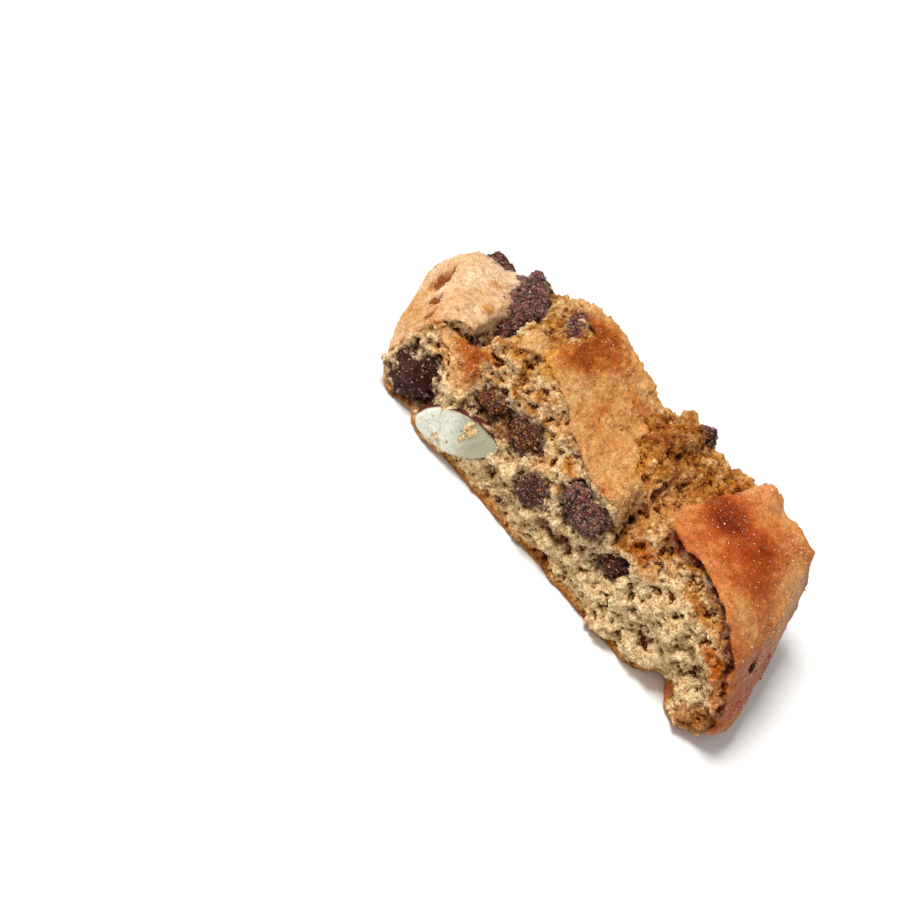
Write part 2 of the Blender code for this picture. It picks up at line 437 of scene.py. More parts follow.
class Finish:
    """A Principled material in the making."""

    def __init__(self, name: str) -> None:
        """Starts a material.

        Args:
            name: what the finish is.
        """
        self.material = bpy.data.materials.new(name)
        self.material.use_nodes = True
        self.tree = self.material.node_tree

    def add(
        self,
        kind: str,
        inputs: dict[str | int, object] | None = None,
        output: str | int = 0,
        **settings: object,
    ) -> bpy.types.NodeSocket:
        """Adds a node with its settings and links.

        Args:
            kind: the node's type, without its ShaderNode prefix.
            inputs: each input's value, or the socket that is linked to it.
            output: which of its outputs is wanted.
            settings: the node's own settings, by name.

        Returns:
            That output.
        """
        made = self.tree.nodes.new("ShaderNode" + kind)
        for name, value in settings.items():
            setattr(made, name, value)
        self.fill(made, inputs or {})
        return made.outputs[output]

    def fill(self, node: bpy.types.Node, inputs: dict[str | int, object]) -> None:
        """Fills a node's inputs.

        Args:
            node: the node.
            inputs: each input's value, or the socket that is linked to it.
        """
        for name, value in inputs.items():
            if isinstance(value, bpy.types.NodeSocket):
                self.tree.links.new(value, node.inputs[name])
            else:
                node.inputs[name].default_value = value

    def done(self, inputs: dict[str | int, object]) -> bpy.types.Material:
        """Fills the shader's own inputs.

        Args:
            inputs: each input's value, or the socket that is linked to it.

        Returns:
            The finished material.
        """
        self.fill(self.tree.nodes["Principled BSDF"], inputs)
        return self.material


SMOOTH = {"interpolation_type": "SMOOTHSTEP"}
COLOUR = {"data_type": "RGBA"}


@dataclass(frozen=True)
class BakedBiscuit:
    """Dry baked dough: matt open crumb, browned where the oven reached, and satin crust."""

    fine_mm: float = 0.38  # grains of flour are finer, and are drawn as coarse as they can show
    fleck_mm: float = 1.1  # toasted flecks
    grain_mm: float = 0.18  # height of the flour grains
    # painted shade: the dark brown that the deep pores are darkened towards
    pore_shade: str = "74400f"
    dim: str = "b58c62"
    bright: tuple[float, float, float, float] = (1.20, 1.20, 1.18, 1.0)  # lifts what it multiplies
    scatter_mm: float = 0.8

    def build(self) -> bpy.types.Material:
        """Builds the material.

        The mesh keeps four attributes: baked is the colour that the oven left, with painted shade
        and painted highlight laid into it, crust is 1 on crust and 0 on crumb, pore is how deep a
        place lies among the grains, which darkens the deep pores as painted shade, and dull is the
        roughness.

        Returns:
            The finished material.
        """
        finish = Finish("twice_baked_biscuit")
        add = finish.add
        place = add("TexCoord", output="Object")
        colour = add("Attribute", output="Color", attribute_name="baked")
        crust = add("Attribute", output="Fac", attribute_name="crust")
        pore_shade = add("Attribute", output="Fac", attribute_name="pore_shade")
        dull = add("Attribute", output="Fac", attribute_name="dull")
        fine, fleck = (
            add("TexNoise", {"Vector": place, "Scale": per_mm(size), "Detail": 3.0, "Roughness": rough})
            for size, rough in ((self.fine_mm, 0.7), (self.fleck_mm, 0.65))
        )
        # Each row: a pattern, its dark and light ends, and how strongly it shades crumb and crust.
        for pattern, dark, light, on_crumb, on_crust in (
            (fine, 0.34, 0.66, 0.72, 0.48),
            (fleck, 0.36, 0.62, 0.48, 0.36),
        ):
            share = add("MapRange", {"Value": crust, "To Min": on_crumb, "To Max": on_crust})
            step = add("MapRange", {"Value": pattern, "From Min": dark, "From Max": light}, **SMOOTH)
            tint = add("Mix", {0: step, 6: linear(self.dim), 7: self.bright}, 2, **COLOUR)
            colour = add("Mix", {0: share, 6: colour, 7: tint}, 2, blend_type="MULTIPLY", **COLOUR)
        # Painted shade: the colour is multiplied towards the pore colour where a place lies deep among
        # the grains.
        deep = add("MapRange", {"Value": pore_shade, "From Min": 0.12, "From Max": 0.85}, **SMOOTH)
        pores = {0: deep, 6: colour, 7: linear(self.pore_shade)}
        strength = add("MapRange", {"Value": crust, "To Min": 1.0, "To Max": 0.65})
        bump = {"Height": fine, "Distance": self.grain_mm * MM, "Strength": strength}
        return finish.done(
            {
                "Base Color": add("Mix", pores, 2, blend_type="MULTIPLY", **COLOUR),
                "Roughness": dull,
                "Specular IOR Level": 0.14,
                "Subsurface Weight": 0.10,
                "Subsurface Radius": (1.0, 0.5, 0.25),
                "Subsurface Scale": self.scatter_mm * MM,
                "Normal": add("Bump", bump, "Normal"),
            }
        )


@dataclass(frozen=True)
class DarkChocolate:
    """Baked dark chocolate: dull and crumbly, dusted with its own dry crumbs, satin where it snapped."""

    heart: str = "240703"
    worn: str = "551d13"
    dust_and_highlight: str = "8c5448"
    snap: str = "330f07"
    fine_mm: float = 0.35  # cocoa and sugar grains, drawn as coarse as they can show
    patch_mm: float = 1.7
    grain_mm: float = 0.16

    def build(self) -> bpy.types.Material:
        """Builds the material.

        The mesh keeps three attributes: crest is high on the tips of its grains, where the dust
        colour is laid partly as dry crumb and partly as painted highlight, dusty is how much dry crumb
        clings to the piece, and snapped is 1 on a clean glossy break.

        Returns:
            The finished material.
        """
        finish = Finish("dark_chocolate")
        add = finish.add
        place = add("TexCoord", output="Object")
        crest, dusty, snapped = (
            add("Attribute", output="Fac", attribute_name=name) for name in ("crest", "dusty", "snapped")
        )
        fine, patch = (
            add(
                "TexNoise",
                {"Vector": place, "Scale": per_mm(size), "Detail": detail, "Roughness": rough},
            )
            for size, detail, rough in ((self.fine_mm, 4.0, 0.75), (self.patch_mm, 3.0, 0.6))
        )
        patches = add("MapRange", {"Value": patch, "From Min": 0.36, "From Max": 0.60}, **SMOOTH)
        cover = add("MapRange", {"Value": dusty, "To Min": 0.25, "To Max": 1.0})
        worn = add("Math", {0: patches, 1: cover}, operation="MULTIPLY")
        colour = add("Mix", {0: worn, 6: linear(self.heart), 7: linear(self.worn)}, 2, **COLOUR)
        uneven = add("MapRange", {"Value": fine, "To Min": 0.55, "To Max": 1.45})
        crest = add("Math", {0: crest, 1: uneven}, operation="MULTIPLY")
        # Dust on the grain tips: partly dry crumb, partly painted highlight.
        tips = add("MapRange", {"Value": crest, "From Min": 0.30, "From Max": 0.90}, **SMOOTH)
        dusted = add("Math", {0: tips, 1: dusty}, operation="MULTIPLY")
        colour = add("Mix", {0: dusted, 6: colour, 7: linear(self.dust_and_highlight)}, 2, **COLOUR)
        clean = add("MapRange", {"Value": snapped, "To Min": 0.0, "To Max": 0.9})
        strength = add("MapRange", {"Value": snapped, "To Min": 0.9, "To Max": 0.15})
        bump = {"Height": fine, "Distance": self.grain_mm * MM, "Strength": strength}
        return finish.done(
            {
                "Base Color": add("Mix", {0: clean, 6: colour, 7: linear(self.snap)}, 2, **COLOUR),
                "Roughness": add("MapRange", {"Value": snapped, "To Min": 0.66, "To Max": 0.38}),
                "Specular IOR Level": 0.22,
                "Normal": add("Bump", bump, "Normal"),
            }
        )


@dataclass(frozen=True)
class CutAlmond:
    """A baked almond cut through: waxy pale kernel inside a thin papery brown skin."""

    kernel: str = "e4e3d2"
    # the darker colour below is the painted shade on the cut face; it also tints the fibres
    kernel_shade: str = "a9a588"
    skin: str = "451812"
    skin_light: str = "6e3020"
    cloud_mm: float = 2.6
    fibre_mm: float = 0.5  # the kernel's fibres are finer, and are drawn as coarse as they can show
    grain_mm: float = 0.14
    scatter_mm: float = 1.0

    def build(self) -> bpy.types.Material:
        """Builds the material; skin is 1 on the papery skin and shaded lays painted shade on part of the
        kernel.

        Returns:
            The finished material.
        """
        finish = Finish("cut_almond")
        add = finish.add
        place = add("TexCoord", output="Object")
        shaded, on_skin = (
            add("Attribute", output="Fac", attribute_name=name) for name in ("shaded", "skin")
        )
        cloud, fibre = (
            add("TexNoise", {"Vector": place, "Scale": per_mm(size), "Detail": 3.0, "Roughness": 0.6})
            for size in (self.cloud_mm, self.fibre_mm)
        )
        uneven = add("MapRange", {"Value": cloud, "To Min": 0.5, "To Max": 1.6})
        shaded = add("Math", {0: shaded, 1: uneven}, operation="MULTIPLY")
        dim = add("MapRange", {"Value": shaded, "From Min": 0.1, "From Max": 0.9}, **SMOOTH)
        shade_colour = linear(self.kernel_shade)
        colour = add("Mix", {0: dim, 6: linear(self.kernel), 7: shade_colour}, 2, **COLOUR)
        threads = add("MapRange", {"Value": fibre, "From Min": 0.5, "From Max": 0.7}, **SMOOTH)
        faint = add("MapRange", {"Value": threads, "To Min": 0.0, "To Max": 0.6})
        colour = add("Mix", {0: faint, 6: colour, 7: shade_colour}, 2, **COLOUR)
        veins = add("MapRange", {"Value": fibre, "From Min": 0.4, "From Max": 0.6}, **SMOOTH)
        skin = add("Mix", {0: veins, 6: linear(self.skin), 7: linear(self.skin_light)}, 2, **COLOUR)
        bump = {"Height": fibre, "Distance": self.grain_mm * MM, "Strength": 0.8}
        return finish.done(
            {
                "Base Color": add("Mix", {0: on_skin, 6: colour, 7: skin}, 2, **COLOUR),
                "Roughness": 0.45,
                "Subsurface Weight": 0.2,
                "Subsurface Radius": (1.0, 0.9, 0.6),
                "Subsurface Scale": self.scatter_mm * MM,
                "Normal": add("Bump", bump, "Normal"),
            }
        )


@dataclass(frozen=True)
class Grit:
    """Loose grains of sugar or chocolate, each with its own shade between two colours."""

    name: str
    dark: str
    light: str
    roughness: float

    def build(self) -> bpy.types.Material:
        """Builds the material; the attribute named share holds each grain's own shade.

        Returns:
            The finished material.
        """
        finish = Finish(self.name)
        share = finish.add("Attribute", output="Fac", attribute_name="share")
        shades = {0: share, 6: linear(self.dark), 7: linear(self.light)}
        colour = finish.add("Mix", shades, 2, **COLOUR)
        return finish.done({"Base Color": colour, "Roughness": self.roughness})


SUGAR = Grit("sugar_crystal", "dba06a", "fff0dc", 0.3)  # clear crystals that glint, tinted by the crust
CHOCOLATE_GRIT = Grit("chocolate_crumb", "200a07", "a88274", 0.6)  # dull, and paler where dry


@dataclass(frozen=True)
class Bake:
    """How the oven left one kind of crust."""

    colours: tuple[str, ...]  # from least to most baked
    uneven: float  # how far the browning wanders along that row
    sandy_mm: float  # height of its grains
    dull: float  # its roughness


class Tone(Enum):
    """The kinds of crust on the slice."""

    FLOURY = Bake(("efd3ae", "e4bf94", "dcae7c", "cf9448"), 0.34, 0.07, 0.85)
    GOLDEN = Bake(("e3ba82", "d9a768", "cd8e4c", "b7651f", "934506"), 0.34, 0.17, 0.55)
    TERRACOTTA = Bake(("e4a868", "d28446", "b95c22", "9c3f08", "762600"), 0.13, 0.035, 0.50)


@dataclass(frozen=True)
class CrustPlate:
    """A plate of browned crust that the log's cracks left whole, seen from above.

    left and right give X by the distance behind the front cut face, and front gives the distance
    behind the front cut face by X.
    """

    tone: Tone
    soft: float  # how gradually its edge passes into the crumb
    left: tuple[tuple[float, float], ...]
    right: tuple[tuple[float, float], ...]
    front: tuple[tuple[float, float], ...]

    def inside(self, x: np.ndarray, y: np.ndarray) -> np.ndarray:
        """Measures how far inside the plate's edges places are.

        Args:
            x: places along the slice.
            y: distances behind the front cut face.

        Returns:
            Millimetres inside the nearest edge, or outside where negative.
        """
        from_left = x - np.interp(y, *zip(*self.left))
        from_right = np.interp(y, *zip(*self.right)) - x
        from_front = y - np.interp(x, *zip(*self.front))
        return np.minimum(np.minimum(from_left, from_right), from_front)


@dataclass(frozen=True)
class CrustPatch:
    """A small round patch of browned crust, seen from above."""

    tone: Tone
    soft: float
    middle: tuple[float, float]
    half: tuple[float, float]

    def inside(self, x: np.ndarray, y: np.ndarray) -> np.ndarray:
        """Gives how far inside the patch's edge places are, or outside where negative."""
        away = np.hypot((x - self.middle[0]) / self.half[0], (y - self.middle[1]) / self.half[1])
        return (1.0 - away) * min(self.half)


@dataclass(frozen=True)
class Spot:
    """A round field: its middle, its half widths and how strong it is there."""

    middle: Place
    half: Place
    strength: float

    def at(self, places: np.ndarray) -> np.ndarray:
        """Gives the field's strength at each place."""
        away = (((places - self.middle) / self.half) ** 2).sum(axis=1)
        return self.strength * rise(1.0, 0.0, away)


@dataclass(frozen=True)
class Stain:
    """A spot of another colour."""

    colour: str
    spots: tuple[Spot, ...]


@dataclass(frozen=True)
class Crack:
    """A crack that follows a path."""

    path: tuple[Place, ...]
    width: float
    depth: float

    def at(self, places: np.ndarray) -> np.ndarray:
        """Gives the crack's depth.

        Args:
            places: places in millimetres of the slice.

        Returns:
            Millimetres of depth for each place, and 0 away from the crack.
        """
        away = np.full(len(places), 99.0)
        for start, end in zip(self.path, self.path[1:]):
            run = np.subtract(end, start)
            along = np.clip((places - start) @ run / (run @ run), 0.0, 1.0)
            away = np.minimum(away, np.linalg.norm(places - start - along[:, None] * run, axis=1))
        return self.depth * rise(self.width, 0.15 * self.width, away)


# Edges so far out that the plate runs round the end of the log.
ROUND_THE_RIGHT_END = ((0.0, 99.0),)
ROUND_THE_LEFT_END = ((0.0, -99.0),)
# The crust that covers the log, plates first.
CRUST = (
    CrustPlate(  # the left end
        Tone.FLOURY,
        0.12,
        ROUND_THE_LEFT_END,
        ((0, -35), (5.6, -34.6), (6.8, -32.3), (9.2, -30.8), (13, -30.2), (17, -30.6),
         (22, -31.4), (29, -35)),
        ((-46, 0.6), (-43, 1.2), (-40, 3), (-36, 5.2), (-30, 6.8)),
    ),
    CrustPlate(  # the middle
        Tone.GOLDEN,
        0.80,
        ((0, -22.5), (10.7, -22), (16, -21), (20, -19), (23, -19.4), (26, -24.5), (29, -27)),
        ((0, 9), (3.6, 8.4), (8.4, 6.1), (10.2, 2.7), (13.4, 0.2),
         (17.2, -1.1), (23.4, -2.3), (29, -2.3)),
        ((-23, 11.5), (-19, 10.3), (-15.3, 8.6), (-12.5, 7.8), (-8.5, 5), (-3, 2.8), (0.6, 1.2),
         (5, 2.2), (8, 4)),
    ),
    CrustPlate(  # the right end
        Tone.TERRACOTTA,
        0.12,
        ((0, 17), (7.5, 16.4), (10, 13.4), (13.2, 12.2), (17.8, 13.4), (22.4, 15.7), (27.2, 18.4),
         (29.1, 20.6)),
        ROUND_THE_RIGHT_END,
        ((10, 12), (13, 9.8), (15.9, 8), (20, 6.4), (26, 4.8), (32, 2.6), (38, 0.9), (46, 0.5)),
    ),
    CrustPatch(Tone.GOLDEN, 0.25, (-29.9, 4.4), (5.6, 3.0)),  # the tongue over the almond
    CrustPatch(Tone.GOLDEN, 0.25, (-24.0, 12.0), (2.4, 2.4)),  # the lobe beside it
)
# How much more the oven baked parts of the crust, as a share of each tone's row of colours.
BAKING = (
    Spot((-15.0, 21.0, 24.0), (9.0, 9.0, 9.0), 0.42),
    Spot((-19.0, 14.0, 24.0), (4.0, 6.0, 6.0), 0.20),
    Spot((-2.0, 5.0, 22.5), (11.0, 7.0, 8.0), -0.12),
    Spot((19.2, 18.3, 23.0), (5.0, 6.5, 9.0), 0.46),
    Spot((25.0, 16.8, 23.0), (7.0, 6.0, 9.0), 0.16),
    Spot((34.0, 21.0, 21.0), (6.0, 7.0, 9.0), -0.26),
    Spot((26.0, 14.5, 23.0), (12.0, 9.5, 9.0), 0.26),
    Spot((31.0, 6.0, 21.5), (9.0, 5.0, 7.0), -0.30),
    Spot((24.0, 27.0, 24.0), (12.0, 4.0, 6.0), -0.25),
    Spot((37.0, 19.0, 19.0), (7.0, 9.0, 9.0), -0.22),
    Spot((43.5, 12.0, 9.0), (4.0, 14.0, 9.0), 0.22),
    Spot((-29.4, 5.2, 17.0), (6.0, 3.4, 4.0), 0.78),
    Spot((-35.0, 24.0, 16.0), (8.0, 7.0, 8.0), -0.45),
    Spot((-39.0, 6.0, 13.0), (6.0, 6.0, 7.0), 0.36),
    Spot((-43.0, 7.0, 10.0), (4.0, 9.0, 7.0), 0.50),
    Spot((-39.0, 9.0, 17.0), (5.0, 6.0, 5.0), 0.24),
)
# How much browner parts of the crumb are.
TOASTING = (
    Spot((3.5, 20.0, 25.0), (7.5, 9.0, 7.0), 0.28),
    Spot((4.3, 18.4, 25.3), (2.4, 3.0, 3.0), 0.18),
    Spot((12.0, 17.0, 21.0), (5.0, 9.0, 6.0), 0.12),
    Spot((11.0, 5.0, 17.0), (2.5, 4.0, 4.0), 0.35),
    Spot((23.0, 4.0, 15.0), (10.0, 6.0, 6.0), -0.35),
    Spot((-24.4, 16.0, 21.5), (3.0, 3.5, 3.0), 0.35),
    Spot((-17.0, 4.0, 13.5), (7.0, 4.0, 4.0), 0.16),
    Spot((40.6, 0.5, 4.0), (4.0, 3.5, 4.0), 0.40),
    Spot((26.0, 0.5, 9.5), (14.0, 4.0, 6.5), -0.25),
)
# Hollows in the slice, each with its depth in millimetres.
HOLLOWS = (
    Spot((-31.2, -0.2, 5.4), (4.6, 4.6, 6.8), 3.2),  # round the chocolate at the left end
    Spot((33.4, 0.8, 12.4), (4.2, 4.0, 1.9), 3.4),  # the large slot at the right
    Spot((29.8, 1.0, 11.8), (1.4, 3.0, 1.1), 1.6),
    Spot((23.7, 0.2, 11.2), (1.9, 3.0, 1.1), 1.9),
    Spot((26.0, 1.5, 16.7), (1.3, 2.0, 1.0), 1.4),
    Spot((19.7, 2.6, 15.5), (1.5, 2.4, 1.2), 1.5),
    Spot((-1.6, 1.9, 18.8), (2.2, 2.6, 1.7), 2.2),
    Spot((13.0, 2.6, 11.5), (2.8, 3.0, 3.0), 2.2),  # round the chocolate in the cleft
    Spot((-15.1, 3.5, 14.5), (4.2, 3.4, 2.5), 1.6),  # over the pieces in the recess
    Spot((-20.7, 3.2, 12.6), (3.4, 3.2, 2.0), 1.6),
    Spot((2.5, -0.2, 8.8), (5.0, 3.0, 1.8), 1.1),
    Spot((40.4, 6.8, 17.0), (1.1, 1.4, 1.1), 1.0),  # the burst bubble in the right crust
    Spot((-33.9, 3.4, 14.6), (1.0, 1.0, 1.0), 0.7),
    Spot((-31.2, 2.6, 12.0), (0.9, 0.9, 0.9), 0.7),
    Spot((-34.3, 10.8, 19.6), (1.4, 0.7, 1.2), 0.25),
    Spot((-22.0, 16.0, 22.0), (1.6, 3.0, 2.0), 0.9),
    Spot((-26.0, 12.0, 19.5), (2.0, 3.0, 2.0), 1.2),
)
# Knobs that stand out, each with its height in millimetres.
KNOBS = (
    Spot((-19.5, 6.6, 17.6), (1.7, 2.0, 1.6), 1.5),
    Spot((-17.2, 7.4, 19.0), (1.4, 1.8, 1.4), 1.2),
    Spot((-23.9, 9.0, 20.6), (2.8, 2.2, 2.6), 1.5),
    Spot((-20.6, 9.8, 22.4), (1.6, 1.2, 1.4), 0.7),
    Spot((8.8, 1.0, 10.2), (0.9, 1.2, 0.9), 0.7),
    Spot((16.3, 6.6, 22.4), (1.4, 1.2, 1.2), 0.8),
    Spot((2.7, 21.0, 24.6), (2.6, 3.4, 2.0), 0.6),
    Spot((-30.4, 3.6, 15.4), (5.4, 3.0, 3.6), 1.1),  # the tongue's swelling
)
# Each crack's path, its width and its depth in millimetres.
CRACKS = (
    # three in the left end
    Crack(((-44.0, 19.5, 12.0), (-43.3, 16.7, 13.1), (-42.8, 13.0, 12.6)), 1.4, 2.2),
    Crack(((-41.6, 11.4, 13.6), (-40.4, 9.2, 14.7)), 0.9, 1.2),
    Crack(((-39.6, 7.4, 14.8), (-38.9, 5.6, 14.9)), 0.8, 0.9),
    # under the crescent of chocolate
    Crack(((-29.4, 20.0, 20.0), (-29.2, 14.0, 18.8), (-29.6, 10.5, 18.8), (-30.8, 7.6, 18.6)), 1.8, 4.2),
    Crack(((-30.8, 7.6, 18.6), (-32.6, 6.0, 18.0)), 1.0, 1.8),
    # across the front face, and down the cleft
    Crack(((12.7, 2.4, 12.6), (15.9, 1.6, 13.0), (20.4, 1.2, 10.4), (23.7, 0.4, 10.6),
     (28.0, 0.6, 9.0)), 1.3, 1.8),
    Crack(((8.4, 16.0, 21.9), (8.6, 11.0, 19.6), (9.3, 7.0, 17.4), (9.6, 3.6, 15.6)), 1.3, 1.5),
    # hair cracks in the middle crust
    Crack(((-9.0, 11.0, 23.3), (-5.4, 13.0, 22.9), (-2.6, 16.0, 22.4)), 0.7, 0.45),
    Crack(((-4.0, 9.0, 23.0), (0.5, 9.6, 22.6), (4.0, 7.4, 22.4)), 0.7, 0.45),
    Crack(((-14.0, 11.0, 23.6), (-10.0, 9.4, 23.2), (-6.0, 9.8, 23.0)), 0.6, 0.35),
)
# Spots of other colours, laid over each other in this order.
STAINS = (
    Stain(  # two blisters in the floury crust
        "c98a35",
        (
            Spot((-35.9, 18.6, 18.6), (1.5, 1.7, 2.0), 0.8),
            Spot((-33.6, 12.6, 19.7), (1.6, 1.5, 2.0), 0.9),
        ),
    ),
    Stain(  # butter-brown crumb beside the cleft and under the right crust
        "c26a0e",
        (
            Spot((13.6, 6.0, 17.8), (4.0, 4.0, 2.8), 1.2),
            Spot((34.4, 0.8, 17.6), (3.6, 2.6, 1.7), 1.1),
            Spot((38.2, -0.3, 15.0), (2.8, 2.6, 1.8), 1.1),
            Spot((36.4, 0.2, 16.4), (2.4, 2.4, 1.6), 0.9),
            Spot((40.6, -0.4, 12.4), (2.2, 2.4, 2.6), 0.8),
            Spot((-24.2, 10.6, 21.6), (2.6, 2.4, 1.8), 0.6),
        ),
    ),
    Stain(  # the yellow corner of the middle crust
        "d69a3c",
        (
            Spot((-19.6, 10.4, 23.2), (3.4, 1.8, 2.0), 1.0),
            Spot((-20.8, 13.0, 23.4), (1.8, 2.6, 1.8), 0.8),
        ),
    ),
    Stain(  # dark brown in hollows and cracks: partly chocolate soaked into the crumb, partly painted shade
        "45170b",
        (
            Spot((40.4, 6.9, 16.6), (1.3, 1.9, 1.5), 1.4),
            Spot((39.4, 8.0, 17.6), (0.8, 1.6, 1.0), 0.8),
            Spot((-19.6, 4.2, 12.8), (4.4, 3.4, 2.0), 0.9),
            Spot((-13.6, 4.6, 14.6), (4.2, 3.4, 2.2), 0.8),
            Spot((15.6, 20.3, 22.5), (1.4, 2.0, 2.0), 0.6),
            Spot((-29.2, 14.0, 17.5), (2.0, 6.0, 4.5), 1.0),
            Spot((-30.4, 8.6, 17.5), (1.6, 3.0, 3.5), 1.0),
            Spot((12.8, 3.4, 11.4), (2.8, 3.0, 2.6), 0.8),
        ),
    ),
    Stain(  # painted shade: brown laid in the low hollow of the front face and beside it
        "84532c",
        (Spot((2.5, 0.0, 9.0), (6.5, 3.4, 2.1), 1.1), Spot((-9.0, 0.5, 7.0), (4.0, 3.0, 3.0), 0.5)),
    ),
    Stain("b87a34", (Spot((40.8, -0.6, 5.0), (4.6, 3.6, 4.0), 1.1),)),  # the foot at the right
    Stain("f0b674", (Spot((10.0, 13.0, 20.5), (6.5, 10.0, 5.0), 0.35),)),  # the torn slope
    Stain("ffc884", (Spot((-31.6, 2.4, 14.2), (5.0, 3.2, 3.6), 1.1),)),  # the tongue, pale and brown
    Stain("cc7430", (Spot((-27.6, 4.0, 15.2), (3.2, 3.0, 2.6), 0.9),)),
    Stain("e2983c", (Spot((5.0, 11.8, 23.8), (4.6, 5.0, 4.0), 0.65),)),
    Stain(  # round the recess: painted shade over browned crumb
        "7a4219",
        (
            Spot((-19.8, 4.0, 12.6), (6.4, 4.0, 3.4), 0.75),
            Spot((-13.8, 4.4, 14.4), (6.0, 4.0, 3.6), 0.7),
        ),
    ),
    Stain(  # painted shade, brown, inside the cracks of the left end and the bubbles of the tongue
        "8a4a1e",
        (
            Spot((-42.6, 16.6, 12.0), (2.0, 4.4, 2.6), 1.3),
            Spot((-40.4, 10.4, 13.8), (1.5, 2.2, 1.9), 1.2),
            Spot((-38.8, 6.4, 14.4), (1.3, 1.8, 1.6), 1.1),
            Spot((-32.8, 2.4, 14.6), (1.1, 1.6, 1.0), 0.7),
            Spot((-31.2, 2.6, 12.0), (1.0, 1.2, 0.9), 0.7),
            Spot((-37.0, 1.0, 9.0), (1.5, 1.6, 3.0), 0.6),
        ),
    ),
)


def tone_shares(x: np.ndarray, y: np.ndarray) -> dict[Tone, np.ndarray]:
    """Gives how much of each tone the crust has at each place.

    Args:
        x: places along the slice.
        y: distances behind the front cut face.

    Returns:
        For each tone its share from 0 to 1; the shares add up to 1.
    """
    near = {
        tone: np.exp(np.max([p.inside(x, y) for p in CRUST if p.tone is tone], axis=0).clip(-12.0, 1.0))
        for tone in Tone
    }
    total = sum(near.values())
    return {tone: share / total for tone, share in near.items()}


